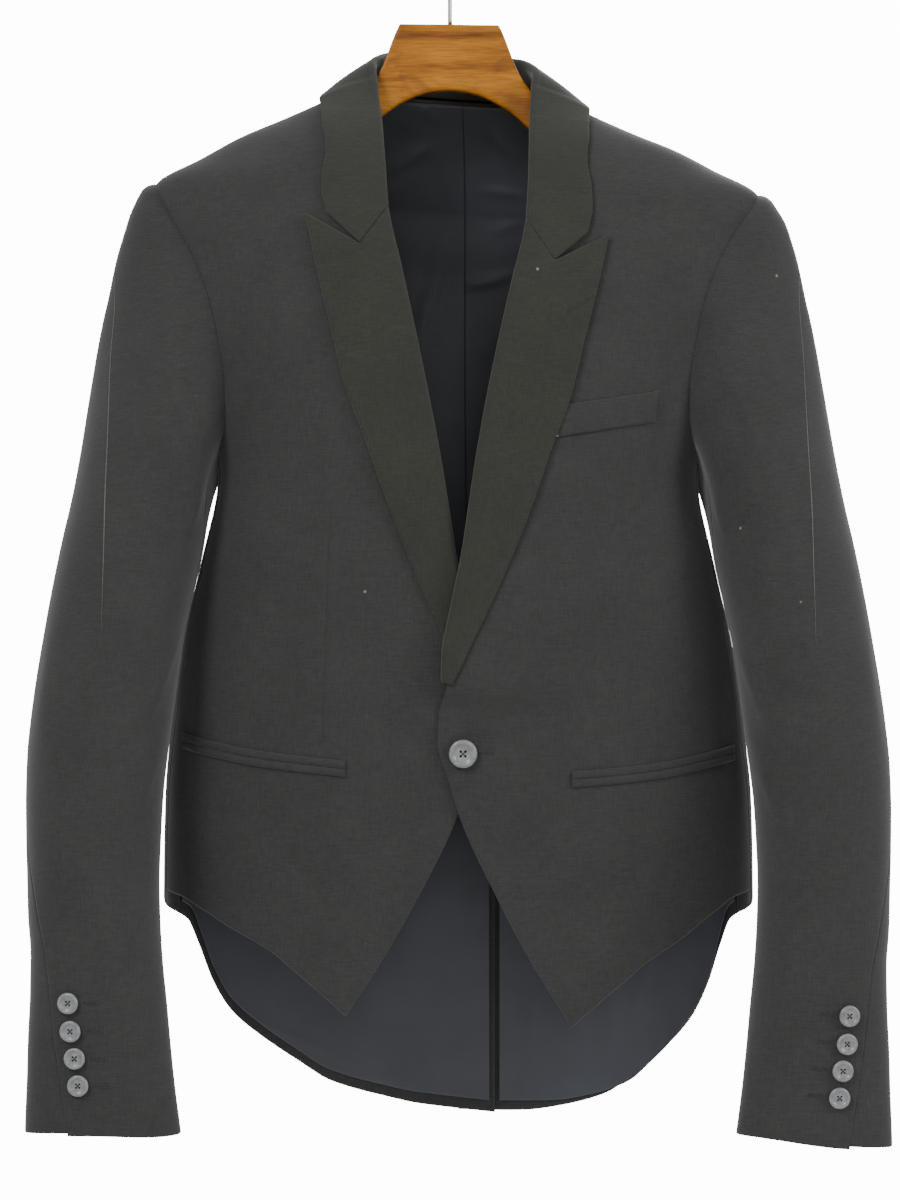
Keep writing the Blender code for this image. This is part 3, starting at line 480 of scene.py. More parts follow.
def new_group(name, inputs, outputs):
    """Empty node group with named inputs (kind, value) and outputs (kind)."""
    tree = bpy.data.node_groups.new(name, "ShaderNodeTree")
    for label, (kind, value) in inputs.items():
        tree.interface.new_socket(name=label, in_out="INPUT", socket_type=kind).default_value = value
    for label, kind in outputs.items():
        tree.interface.new_socket(name=label, in_out="OUTPUT", socket_type=kind)
    return tree, tree.nodes.new("NodeGroupInput"), tree.nodes.new("NodeGroupOutput")


def add_node(tree, kind, settings=None, **links):
    """New node; settings are its properties, links its inputs, each a value or another node's output."""
    node = tree.nodes.new(kind)
    for name, value in (settings or {}).items():
        setattr(node, name, value)
    for name, value in links.items():
        feed(tree, next(s for s in node.inputs if s.enabled and s.name.replace(" ", "_") == name), value)
    return node


def maths(tree, operation, first, second, kind="ShaderNodeMath"):
    node = tree.nodes.new(kind)
    node.operation = operation
    for socket, value in zip(node.inputs, (first, second)):
        feed(tree, socket, value)
    return node.outputs[0]


def stretched(tree, scale, divide_by):
    """The object's coordinates, scaled by a vector and divided by a length in metres."""
    place = tree.nodes.new("ShaderNodeTexCoord").outputs["Object"]
    wide = maths(tree, "MULTIPLY", place, scale, "ShaderNodeVectorMath")
    return maths(tree, "DIVIDE", wide, divide_by, "ShaderNodeVectorMath")


def ranged(tree, value, low, high, to_low, to_high):
    """A value moved from one range into another."""
    node = tree.nodes.new("ShaderNodeMapRange")
    for label, given in zip(RANGE_INPUTS, (value, low, high, to_low, to_high)):
        feed(tree, node.inputs[label], given)
    return node.outputs["Result"]


def mixed(tree, blend_type, factor, first, second):
    """Colour mix of two colours, each a value or an output."""
    node = tree.nodes.new("ShaderNodeMix")
    node.data_type, node.blend_type = "RGBA", blend_type
    for index, value in ((MIX_FACTOR, factor), (MIX_FIRST, first), (MIX_SECOND, second)):
        feed(tree, node.inputs[index], value)
    return node.outputs[MIX_RESULT]


def grey_of(tree, value):
    return add_node(tree, "ShaderNodeCombineXYZ", X=value, Y=value, Z=value).outputs[0]


def about_one(tree, swing, strength):
    """Grey to multiply a colour with; it swings about 1 by a strength."""
    return grey_of(tree, maths(tree, "ADD", maths(tree, "MULTIPLY", swing, strength), 1.0))


# %% Uneven tone, threads and lint
def make_tone():
    tree, given, out = new_group(
        "uneven_tone",
        {"Colour": ("NodeSocketColor", (0.5, 0.5, 0.5, 1)), "Patch": ("NodeSocketFloat", 0.05),
         "Strength": ("NodeSocketFloat", 0.1)},
        {"Colour": "NodeSocketColor"},
    )
    place = stretched(tree, (1, 1, 1), given.outputs["Patch"])
    noise = add_node(tree, "ShaderNodeTexNoise", Vector=place, Scale=1.0, Detail=4.0, Roughness=0.6)
    swing = ranged(tree, noise.outputs["Fac"], 0.25, 0.75, -1, 1)
    grey = about_one(tree, swing, given.outputs["Strength"])
    tree.links.new(mixed(tree, "MULTIPLY", 1.0, given.outputs["Colour"], grey), out.inputs["Colour"])
    return tree


def make_threads():
    tree, given, out = new_group(
        "threads",
        {"Width": ("NodeSocketFloat", 0.0007), "Contrast": ("NodeSocketFloat", 0.2)},
        {"Height": "NodeSocketFloat", "Shade": "NodeSocketColor"},
    )
    width = given.outputs["Width"]
    total = None
    for scale in ((1, 1, 0.09), (0.09, 0.09, 1)):
        place = stretched(tree, scale, width)
        noise = add_node(tree, "ShaderNodeTexNoise", Vector=place, Scale=1.0, Detail=1.5, Roughness=0.5)
        total = noise.outputs["Fac"] if total is None else maths(tree, "ADD", total, noise.outputs["Fac"])
    tree.links.new(maths(tree, "MULTIPLY", total, 0.5), out.inputs["Height"])
    swing = ranged(tree, total, 0.7, 1.3, -1, 1)
    tree.links.new(about_one(tree, swing, given.outputs["Contrast"]), out.inputs["Shade"])
    return tree


def make_lint():
    tree, given, out = new_group(
        "lint", {"Spacing": ("NodeSocketFloat", 0.02)}, {"Mask": "NodeSocketFloat"}
    )
    place = stretched(tree, (1, 1, 1), given.outputs["Spacing"])
    cells = add_node(tree, "ShaderNodeTexVoronoi", {"feature": "F1"}, Vector=place, Scale=1.0)
    tree.links.new(ranged(tree, cells.outputs["Distance"], 0.012, 0.03, 1, 0), out.inputs["Mask"])
    return tree


TONE, THREADS, LINT = make_tone(), make_threads(), make_lint()
print("node groups:", len(bpy.data.node_groups))


# %% Material helpers
def use_group(tree, group, **values):
    node = tree.nodes.new("ShaderNodeGroup")
    node.node_tree = group
    for name, value in values.items():
        feed(tree, node.inputs[name], value)
    return node


def new_finish(name, **sockets):
    """Material with a Principled shader, whose constant sockets are set by name."""
    made = bpy.data.materials.new(name)
    made.use_nodes = True
    shader = made.node_tree.nodes["Principled BSDF"]
    for label, value in sockets.items():
        shader.inputs[label.replace("_", " ")].default_value = value
    return made, made.node_tree, shader


def bumped(tree, shader, height, strength, distance):
    bump = add_node(tree, "ShaderNodeBump", Height=height, Strength=strength, Distance=distance)
    tree.links.new(bump.outputs["Normal"], shader.inputs["Normal"])


# %% [markdown]
# The jacket is a dark worsted wool: matt, a little hairy, with fine threads that only show close to. The
# collar and lapels are the same cloth in a slightly greener tone. A soft sheen lifts the edges that turn
# away, as the nap of wool does. The lining is a navy satin, smooth enough to shine along its folds.


# %% Cloth finishes
def make_wool(name, colour):
    made, tree, shader = new_finish(
        name, Roughness=0.92, Sheen_Weight=0.18, Sheen_Roughness=0.45, Specular_IOR_Level=0.25
    )
    tone = use_group(tree, TONE, Colour=(*colour, 1), Patch=0.045, Strength=0.1)
    threads = use_group(tree, THREADS, Width=0.0007, Contrast=0.2)
    lint = use_group(tree, LINT, Spacing=0.045)
    woven = mixed(tree, "MULTIPLY", 1.0, tone.outputs["Colour"], threads.outputs["Shade"])
    speckled = mixed(tree, "MIX", lint.outputs["Mask"], woven, (0.16, 0.16, 0.15, 1))
    tree.links.new(speckled, shader.inputs["Base Color"])
    bumped(tree, shader, threads.outputs["Height"], 0.5, 0.0005)
    return made


def make_satin():
    made, tree, shader = new_finish(
        "lining_satin", Sheen_Weight=0.1, Specular_IOR_Level=0.4, Anisotropic=0.3
    )
    tone = use_group(tree, TONE, Colour=(0.026, 0.029, 0.037, 1), Patch=0.03, Strength=0.14)
    threads = use_group(tree, THREADS, Width=0.0004, Contrast=0.06)
    base = mixed(tree, "MULTIPLY", 1.0, tone.outputs["Colour"], threads.outputs["Shade"])
    tree.links.new(base, shader.inputs["Base Color"])
    rough = ranged(tree, threads.outputs["Height"], 0.3, 0.7, 0.42, 0.58)
    tree.links.new(rough, shader.inputs["Roughness"])
    bumped(tree, shader, threads.outputs["Height"], 0.2, 0.0002)
    return made


def make_thread(name, colour):
    made, tree, shader = new_finish(name, Roughness=0.7, Sheen_Weight=0.1)
    tone = use_group(tree, TONE, Colour=(*colour, 1), Patch=0.002, Strength=0.2)
    tree.links.new(tone.outputs["Colour"], shader.inputs["Base Color"])
    return made


WOOL = make_wool("charcoal_wool", (0.0252, 0.0252, 0.0247))
FACING = make_wool("facing_wool", (0.0222, 0.0228, 0.0182))
# Lighter wool for the painted highlight along each sleeve's pressed crease
PAINTED_HIGHLIGHT_WOOL = make_wool("pressed_wool", (0.085, 0.085, 0.08))
SATIN = make_satin()
THREAD = make_thread("sewing_thread", (0.012, 0.012, 0.013))
SLIT_SHADE = make_thread("slit_shadow", (0.004, 0.004, 0.004))
for finish in (WOOL, FACING, PAINTED_HIGHLIGHT_WOOL, SATIN, THREAD, SLIT_SHADE):
    print("cloth finish:", finish.name)

# %% [markdown]
# Each front runs from the neck point over the chest to the cutaway point. Its grid follows the pattern:
# rows across, and columns from the front edge to the shoulder, the armhole and the side seam. The dart
# has a column of its own, so that its sewn line can be a true groove.

# %% Fronts
CLOTH = 2.0
DART = Table("drop x", (118, 70), (300, 86), (416, 89.6), (599, 96.3), (784, 103))
DART_TOP, DART_FOOT = 416, 597
DART_DEPTH, DART_WIDTH = 0.9, 1.3
SHOULDER_TOP = 123
FRONT_COLUMNS, FRONT_HEAD_ROWS, FRONT_FOOT_ROWS = 60, 90, 130


def front_rows():
    """Drops of the rows at the shoulder, turns of those at the armhole, and falls of those below it."""
    head = np.linspace(SHOULDER_TOP, ARMHOLE_TOP, 26)[:-1]
    turns = np.linspace(0, ARMPIT_TURN, FRONT_HEAD_ROWS)
    return head, turns, edged(FRONT_FOOT_ROWS, (0.002, 0.005, 0.01))[1:]


def warped(columns, middle):
    """Column shares that put the column at one half on the given middle share."""
    return np.where(columns < 0.5, columns * 2 * middle, middle + (columns * 2 - 1) * (1 - middle))


def front_columns():
    """Column shares, close together at both edges and on the dart in the middle."""
    near = np.array((0.0035, 0.007, 0.011, 0.018, 0.03))
    base = edged(FRONT_COLUMNS, (0.002, 0.005, 0.009, 0.015))
    base = base[np.abs(base - 0.5) > 0.034]
    return np.sort(np.concatenate((base, 0.5 - near, (0.5,), 0.5 + near)))


def front_places():
    """Angles and drops of all points of a front, and their distance from the dart."""
    columns = front_columns()
    head, turns, falls = front_rows()
    foot = angle_of(EDGE.at(FRONT_POINT_DROP, "inset"), FRONT_POINT_DROP)
    angles, drops = [], []

    def inner_angle(drop):
        return angle_of(EDGE.at(drop, "inset") + TUCK.at(drop, "back"), drop)

    def dart_share(inner, outer, drop):
        share = (angle_of(DART.at(drop, "x"), drop) - inner) / (outer - inner)
        return np.clip(share, 0.2, 0.8)

    for drop in head:
        outer = moved_angle(SHOULDER, drop, -SEAM_GAP / 2)
        inner = inner_angle(drop)
        angles.append(blend(inner, outer, warped(columns, dart_share(inner, outer, drop))))
        drops.append(np.full(len(columns), drop))
    for turn in turns:
        outer, drop = armhole_place(turn)
        inner = inner_angle(drop)
        angles.append(blend(inner, outer, warped(columns, dart_share(inner, outer, drop))))
        drops.append(np.full(len(columns), drop))
    for fall in falls:
        inner = inner_angle(blend(ARMHOLE_FOOT, FRONT_POINT_DROP, fall))
        seam_drop = blend(ARMHOLE_FOOT, FRONT_HEM.at(FRONT_SEAM, "drop"), fall)
        outer = moved_angle(FRONT_SEAM, seam_drop, -SEAM_GAP / 2)
        middle = 0.5
        for _ in range(4):
            hem = FRONT_HEM.at(blend(foot, FRONT_SEAM, middle), "drop")
            middle = dart_share(inner, outer, blend(ARMHOLE_FOOT, hem, fall))
        shares = warped(columns, middle)
        hems = FRONT_HEM.at(blend(foot, FRONT_SEAM, shares), "drop")
        angles.append(blend(inner, outer, shares))
        drops.append(blend(ARMHOLE_FOOT, hems, fall))
    return np.array(angles), np.array(drops)


def dart_groove(angles, drops):
    x = body_place(angles, drops)[..., 0]
    off = x - DART.at(drops, "x")
    sewn = smooth(drops, DART_TOP - 4, DART_TOP + 25) * (1 - smooth(drops, DART_FOOT - 8, DART_FOOT + 6))
    return sewn * (-DART_DEPTH * np.exp(-np.abs(off / DART_WIDTH)) + 0.5 * np.exp(-((off / 7) ** 2)))


def make_fronts():
    angles, drops = front_places()
    groove = dart_groove(angles, drops)
    for side, word in SIDE_NAMES.items():
        outer = hung(front_point(angles, drops, groove, side), side)
        inner = hung(front_point(angles, drops, groove * 0.3 - CLOTH, side), side)
        cloth_piece(f"front_{word}", outer, inner, WOOL)


make_fronts()

# %% [markdown]
# A narrow side panel joins front and back under the arm, where one pattern piece could not follow both the
# chest and the waist. It lies on the same form, so its grid is only a short span of angles and drops.

# %% Sides
SIDE_ROWS, SIDE_COLUMNS = 110, 22


def side_places():
    falls, shares = edged(SIDE_ROWS, (0.002, 0.005, 0.01)), edged(SIDE_COLUMNS, (0.01, 0.025, 0.05))
    angles = np.broadcast_to(blend(FRONT_SEAM, BACK_SEAM, shares), (len(falls), len(shares)))
    drops = blend(UNDERARM.at(angles, "drop"), BACK_HEM.at(angles, "drop"), falls[:, None])
    gap = SEAM_GAP / 2 * (1 - 2 * shares)
    return moved_angle(angles, drops, gap), drops


def side_folds(angles, drops):
    calm = smooth(angles - FRONT_SEAM, 0, 7) * smooth(BACK_SEAM - angles, 0, 7)
    return fold_height(SIDE_FOLDS, angles, drops) * calm


def make_sides():
    angles, drops = side_places()
    folds = side_folds(angles, drops)
    for side, word in SIDE_NAMES.items():
        outer, inner = (hung(body_point(angles, drops, lift + folds), side) for lift in (0, -CLOTH))
        cloth_piece(f"side_{word}", outer, inner, WOOL)


make_sides()

# %% [markdown]
# The back is cut in two halves that meet in a centre seam. Below the seam they part in a vent, and the
# wearer's right half runs on under the left one. The satin lining hangs just inside, cut the same way.

# %% Backs and their lining
LINING_LIFT, LINING_CLOTH = -3.2, 0.8
NECK_DROP_SIDE, NECK_DROP_BACK = 118.3, 124
BACK_COLUMNS, BACK_FOOT_ROWS = 56, 130
LINING_TOP, LINING_SEAM_SHIFT = 119.5, 6
LINING_FOLDS = {
    # as the folds above: start, end, width and height
    RIGHT: (
        (28, 128, 6, 140, 3.5, -1.1), (34, 136, 12, 124, 3, -0.9), (46, 132, 30, 150, 4, -0.8),
        (18, 152, 50, 182, 4.5, -1.5), (26, 176, 60, 200, 5, -0.8), (10, 210, 34, 330, 9, -0.9),
        (50, 230, 44, 420, 12, 0.8), (70, 660, 62, 850, 9, -1.0), (104, 640, 96, 830, 12, -1.2),
        (130, 690, 118, 800, 9, -1.0), (40, 640, 44, 850, 7, -0.7), (84, 700, 82, 850, 6, 0.7),
        (60, 838, 150, 800, 5, -0.6), (20, 846, 90, 838, 4, -0.5),
    ),
    LEFT: (
        (18, 184, 54, 189, 3.5, -0.8), (2, 258, 46, 240, 4, -1.2), (20, 140, 46, 160, 4, -0.9),
        (24, 215, 50, 206, 3.5, -0.6), (14, 290, 40, 330, 6, -0.8), (46, 260, 40, 400, 10, 0.8),
        (56, 650, 52, 850, 7, -0.9), (88, 640, 84, 840, 11, -1.2), (122, 680, 112, 820, 9, -1.0),
        (144, 700, 130, 790, 7, -0.8), (72, 700, 70, 850, 6, 0.7), (40, 846, 130, 822, 5, -0.6),
    ),
}
PUCKER_STEP, PUCKER_HEIGHT, PUCKER_REACH = 8.5, 0.55, 10
VENT_STITCH_START = 690


def centre_angle(drop, past, shift=0.0):
    """Angle of a back's inner edge; past is how far it runs beyond centre back in the vent."""
    opening = smooth(drop, VENT_START, VENT_FULL)
    closed = shift * (1 - opening) - SEAM_GAP / 2
    return moved_angle(CENTRE_BACK, drop, closed + (past + SEAM_GAP / 2) * opening)


def back_places(past, first_drop, hem_short=0.0, shift=0.0):
    """Angles and drops of all points of a back or of its lining."""
    shares = edged(BACK_COLUMNS, (0.002, 0.005, 0.009, 0.015))
    angles, drops = [], []
    dip_share = smooth(shares, 0, 0.75)

    def row(outer, places):
        angles.append(blend(outer, centre_angle(places[-1], past, shift), shares))
        drops.append(places)

    for drop in np.linspace(first_drop, ARMHOLE_TOP, 30)[:-1]:
        dip = (NECK_DROP_BACK - NECK_DROP_SIDE) * (ARMHOLE_TOP - drop) / (ARMHOLE_TOP - NECK_DROP_SIDE)
        row(moved_angle(SHOULDER, drop, SEAM_GAP / 2), drop + dip * dip_share)
    for turn in np.linspace(0, ARMPIT_TURN, FRONT_HEAD_ROWS):
        outer, drop = armhole_place(-turn)
        row(outer, np.full(len(shares), float(drop)))
    hems = BACK_HEM.at(blend(BACK_SEAM, CENTRE_BACK, shares), "drop")
    for fall in edged(BACK_FOOT_ROWS, (0.002, 0.005, 0.01))[1:]:
        places = blend(ARMHOLE_FOOT, hems, fall) - hem_short * smooth(fall, 0.8, 1)
        row(moved_angle(BACK_SEAM, places[0], SEAM_GAP / 2), places)
    return np.array(angles), np.array(drops)


def make_backs():
    for side, word in SIDE_NAMES.items():
        angles, drops = back_places(VENT_UNDERLAP if side == RIGHT else 0.0, NECK_DROP_SIDE)
        outer, inner = (hung(back_point(angles, drops, lift, side), side) for lift in (0, -CLOTH))
        cloth_piece(f"back_{word}", outer, inner, WOOL)


def lining_folds(angles, drops, side):
    """Folds of the lining, raised towards its wearer, with puckers along the hand-sewn vent and hem."""
    x = body_place(angles, drops)[..., 0]
    calm = smooth(angles - BACK_SEAM, 0, 8) * smooth(drops, 122, 130)
    height = np.minimum(fold_height(LINING_FOLDS[side], x, drops), 0) * calm
    from_vent = np.abs(x - x[:, -1:])
    sewn = smooth(drops, VENT_STITCH_START, VENT_STITCH_START + 20)
    wave_down = 0.5 + 0.5 * np.sin(drops * 2 * pi / PUCKER_STEP + 1.3 * np.sin(drops * 0.13))
    height = height - PUCKER_HEIGHT * sewn * wave_down * np.exp(-from_vent / PUCKER_REACH)
    from_hem = np.abs(drops[-1:] - drops)
    wave_across = 0.5 + 0.5 * np.sin(x * 2 * pi / (PUCKER_STEP * 1.7) + 1.1 * np.sin(x * 0.09))
    return height - PUCKER_HEIGHT * 1.3 * wave_across * np.exp(-from_hem / (PUCKER_REACH * 1.2)) * calm


def make_linings():
    for side, word in SIDE_NAMES.items():
        past = LINING_UNDERLAP if side == RIGHT else -LINING_SETBACK
        shift = LINING_SEAM_SHIFT if side == RIGHT else -LINING_SEAM_SHIFT
        angles, drops = back_places(past, LINING_TOP, LINING_SHORT, shift)
        folds = lining_folds(angles, drops, side)
        faces = (LINING_LIFT + folds, LINING_LIFT - LINING_CLOTH + folds)
        outer, inner = (hung(back_point(angles, drops, lift, side), side) for lift in faces)
        cloth_piece(f"lining_{word}", outer, inner, SATIN, "lining", 0.6)


make_backs()
make_linings()

# %% [markdown]
# A tailored sleeve has two pieces, a top one and an under one. It leaves the armhole seam, falls over the
# sleeve head and bends forward at the elbow to the cuff, and its two seams wind round it on the way. Rings
# read from a table make the arm, and smooth curves from the armhole seam to the first ring make the head.
# An iron has pressed a crease into it, a sharp ridge; a thin ribbon of lighter wool on top of it is a painted
# highlight.

# %% Sleeves
SLEEVE_CLOTH = 1.6
SLEEVE = Table(
    "drop inner outer middle depth",
    (440, 179, 279.5, -31, 60.5), (460, 182, 283.4, -36, 60), (488, 188, 288.4, -43, 59),
    (516, 193.6, 292.8, -50, 57), (544, 197.2, 297, -56, 55.5), (572, 200.8, 300.5, -61, 54),
    (600, 204.4, 302.9, -66, 52), (628, 207.3, 303.5, -70, 50), (656, 208.7, 303, -74, 47.5),
    (684, 209.5, 302, -78, 45), (712, 208.6, 301, -82, 41.5), (740, 206.7, 299, -85, 38),
    (768, 203.7, 299.2, -88, 35), (796, 201, 300.4, -90, 32), (824, 198, 301, -92, 29.5),
    (852, 194.3, 302, -93.5, 27), (868, 192, 302.4, -94, 26),
)
SLEEVE_ROUNDNESS = 2.3
HEAD_TOP, HEAD_FOOT, CUFF = 200, 440, 862
CUFF_SLANT = 3
SLEEVE_SEAMS = Table(
    "station back front",
    (200, -80, 144), (402, -60, 162), (487, -45, 171), (560, -25, 180), (621, 0, 186.5),
    (706, 38, 198.5), (800, 56, 215), (868, 67, 225),
)
HEAD_LEAVES = {0: (140, 0, -165), 90: (70, -45, -50), 180: (10, -5, -20), 270: (75, 20, -60)}
HEAD_LANDS = {0: (54, -60, -240), 90: (20, -25, -110), 180: (6, -10, -38), 270: (15, -20, -110)}
MITRE_LEAN = 0.35
# The sleeve head stands proud of the shoulder just past its seam
HEAD_PUFF = Table(
    "past lift",
    (0, 0), (5, 4), (10, 5.5), (16, 5.2), (25, 4.8), (40, 3.2), (60, 1.1), (90, -1.2), (130, -1.5), (240, 0),
)
PUFF_TURNS = 34
SLEEVE_FOLDS = (
    # turn (as mm, 0.8 a degree) and station where it starts and ends, width, height
    (70, 225, 72, 650, 7, 1.3),
    (30, 240, 40, 420, 16, -1.6),
    (104, 300, 96, 470, 14, -1.8),
    (118, 330, 108, 460, 8, 1.3),
    (48, 430, 56, 640, 14, -1.1),
    (130, 520, 92, 580, 9, 1.6),
    (128, 560, 88, 610, 9, -1.5),
    (124, 600, 92, 650, 9, 1.2),
    (20, 500, 44, 600, 14, 1.0),
    (60, 660, 72, 830, 16, -0.9),
    (100, 680, 104, 840, 14, 0.9),
    (-30, 300, -20, 470, 16, 1.6),
    (-44, 420, -20, 560, 12, -1.5),
    (200, 420, 210, 560, 12, 1.4),
    (215, 520, 190, 620, 10, -1.4),
    (180, 640, 186, 800, 12, 1.0),
)


def wave(quarters, turn):
    """A vector given at four turns, read at any turn by the smooth wave through them."""
    top, front, under, rear = (np.array(quarters[quarter], float) for quarter in (0, 90, 180, 270))
    angle = np.radians(turn)[..., None]
    steady = (top + front + under + rear) / 4
    once = (top - under) / 2 * np.cos(angle) + (front - rear) / 2 * np.sin(angle)
    return steady + once + (top - front + under - rear) / 4 * np.cos(2 * angle)


# %% Sleeve form
def sleeve_ring(turn, drop):
    across, along = superellipse(turn, SLEEVE_ROUNDNESS)
    inner, outer = SLEEVE.at(drop, "inner"), SLEEVE.at(drop, "outer")
    x = (inner + outer) / 2 + (outer - inner) / 2 * across
    y = SLEEVE.at(drop, "middle") - SLEEVE.at(drop, "depth") * along
    return vectors(x, y, -np.asarray(drop, float))


def armhole_outward(turn):
    """Direction in the cloth, across the armhole seam and into the hole."""
    angle, drop = armhole_place(turn)
    before, after = body_place(*armhole_place(turn - 2)), body_place(*armhole_place(turn + 2))
    outward = unit(np.cross(body_normal(angle, drop), after - before))
    to_middle = body_place(SHOULDER, 300) - body_place(angle, drop)
    facing = np.sign((outward * to_middle).sum(axis=-1, keepdims=True))
    return outward * facing


def sleeve_place(turn, station):
    """Outer face of the sleeve; stations 200 to 440 run down its head, and later ones are drops."""
    turn, station = np.broadcast_arrays(np.asarray(turn, float), np.asarray(station, float))
    angle, drop = armhole_place(turn)
    start = body_place(angle, drop) + armhole_outward(turn) * ARMHOLE_GAP
    share = np.clip((station - HEAD_TOP) / (HEAD_FOOT - HEAD_TOP), 0, 1)[..., None]
    end = sleeve_ring(turn, np.full(turn.shape, float(HEAD_FOOT)))
    head = hermite(start, wave(HEAD_LEAVES, turn), end, wave(HEAD_LANDS, turn), share)
    return np.where((station >= HEAD_FOOT)[..., None], sleeve_ring(turn, station), head)


def sleeve_normal(turn, station):
    first = np.maximum(station - 3, HEAD_TOP)
    down = sleeve_place(turn, station + 3) - sleeve_place(turn, first)
    round_front = sleeve_place(turn + 1.5, station) - sleeve_place(turn - 1.5, station)
    return unit(np.cross(round_front, down))


def sleeve_folds(turn, station):
    turn = np.where(turn > 330, turn - 360, turn)
    return fold_height(SLEEVE_FOLDS, turn * 0.8, station) * smooth(station, 215, 245)


# %% Pressed crease
# Its distance from centre front, its rise, and how fast it falls off outwards and inwards
PRESSED = Table("drop x", (222, 239), (260, 243.5), (350, 246), (450, 247), (640, 250))
PRESSED_RISE, PRESSED_SLOPES = 1.5, (5.0, 11.0)
# The painted highlight on the crease: where it starts, grows full, fades and ends, its width and tip, and the
# lifts of its two faces
LINE_TOP, LINE_FULL, LINE_FADING, LINE_FOOT = 228, 275, 400, 545
LINE_WIDTH, LINE_TIP = 0.9, 0.03
LINE_FACES = (0.14, 0.02)


def pressed_ridge(place, station):
    """Cusp along the pressed crease, steeper on its outer side, where the cloth turns away."""
    off = place[..., 0] - PRESSED.at(station, "x")
    ridge = PRESSED_RISE * np.exp(-np.abs(off) / np.where(off > 0, *PRESSED_SLOPES))
    to_front = smooth(SLEEVE.at(station, "middle") - place[..., 1], 0, 14)
    return ridge * to_front * smooth(station, 222, 250) * (1 - smooth(station, 440, 560))


def head_puff(turn, station):
    turn = np.mod(turn + 180, 360) - 180
    return HEAD_PUFF.at(station - HEAD_TOP, "lift") * np.exp(-((turn / PUFF_TURNS) ** 2))


def sleeve_point(turn, station, lift):
    """Place on a sleeve; next to the armhole the lift turns from the body's cloth to the sleeve's."""
    turn, station = np.broadcast_arrays(np.asarray(turn, float), np.asarray(station, float))
    angle, drop = armhole_place(turn)
    own = sleeve_normal(turn, station)
    mitre = body_normal(angle, drop) + sleeve_normal(turn, np.full(turn.shape, HEAD_TOP + 4.0))
    mitre = unit(mitre - armhole_outward(turn) * MITRE_LEAN)
    direction = unit(blend(mitre, own, smooth(station, HEAD_TOP, HEAD_TOP + 12)[..., None]))
    place = sleeve_place(turn, station)
    shape = head_puff(turn, station) + sleeve_folds(turn, station) + pressed_ridge(place, station)
    return lifted(place, direction, lift + shape)


def sleeve_places(to_back, columns, shorter=0.0):
    """Turns and stations of a sleeve piece, from its front seam the short or the long way to its back one."""
    shares = edged(columns, (0.004, 0.01, 0.02))
    head = HEAD_TOP + np.concatenate(((0, 0.6, 1.6, 3), np.linspace(6, HEAD_FOOT - HEAD_TOP, 64)))
    arm = np.linspace(HEAD_FOOT, CUFF, 112)[1:-1]
    stations = np.concatenate((head, arm, (CUFF - 1.6, CUFF - 0.8, CUFF - 0.3, CUFF)))[:, None]
    front = SLEEVE_SEAMS.at(stations, "front")
    back = SLEEVE_SEAMS.at(stations, "back") + (360 if to_back > 0 else 0)
    gap = np.degrees(SEAM_GAP / 2 / 45) * to_back * smooth(stations, HEAD_TOP, HEAD_TOP + 12)
    turns = blend(front, back, shares) + gap * (1 - 2 * shares)
    at_cuff = smooth(stations, CUFF - 60, CUFF)
    drops = stations + at_cuff * (CUFF_SLANT * np.cos(np.radians(turns)) - shorter)
    return turns, drops


# %% Sleeve pieces
def paint_crease_highlight(side, word):
    """Painted highlight on top of the pressed crease: a thin ribbon of lighter wool that tapers at both ends.
    """
    drops = np.linspace(LINE_TOP, LINE_FOOT, 220)
    tries = np.linspace(4, 84, 240)
    x = sleeve_place(tries[None, :], drops[:, None])[..., 0]
    turns = np.array([np.interp(-PRESSED.at(drop, "x"), -row, tries) for drop, row in zip(drops, x)])
    width = LINE_WIDTH * smooth(drops, LINE_TOP, LINE_FULL) * (1 - smooth(drops, LINE_FADING, LINE_FOOT))
    around = sleeve_place(turns + 1, drops) - sleeve_place(turns - 1, drops)
    half_turn = (width + LINE_TIP) / np.linalg.norm(around, axis=-1)
    places = turns[:, None] + np.linspace(-1, 1, 5)[None, :] * half_turn[:, None]
    outer, inner = (hung(sleeve_point(places, drops[:, None], lift), side) for lift in LINE_FACES)
    # The ribbon's lighter wool is a painted highlight
    place_piece(f"pressed_line_{word}", grid_mesh("pressed_line", outer, inner), PAINTED_HIGHLIGHT_WOOL)


def make_sleeves():
    for kind, to_back, columns, shorter in (("top_sleeve", -1, 64, 0.0), ("under_sleeve", 1, 44, 2.0)):
        turns, stations = sleeve_places(to_back, columns, shorter)
        for side, word in SIDE_NAMES.items():
            outer, inner = (hung(sleeve_point(turns, stations, lift), side) for lift in (0, -SLEEVE_CLOTH))
            cloth_piece(f"{kind}_{word}", outer, inner, WOOL)
    for side, word in SIDE_NAMES.items():
        paint_crease_highlight(side, word)


make_sleeves()

# %% [markdown]
# The lapel is the front's own edge turned back: under the cloth, round the roll and out over the chest.
# A row of it is one line across the lapel, so the roll and the peak come from the same few measures.

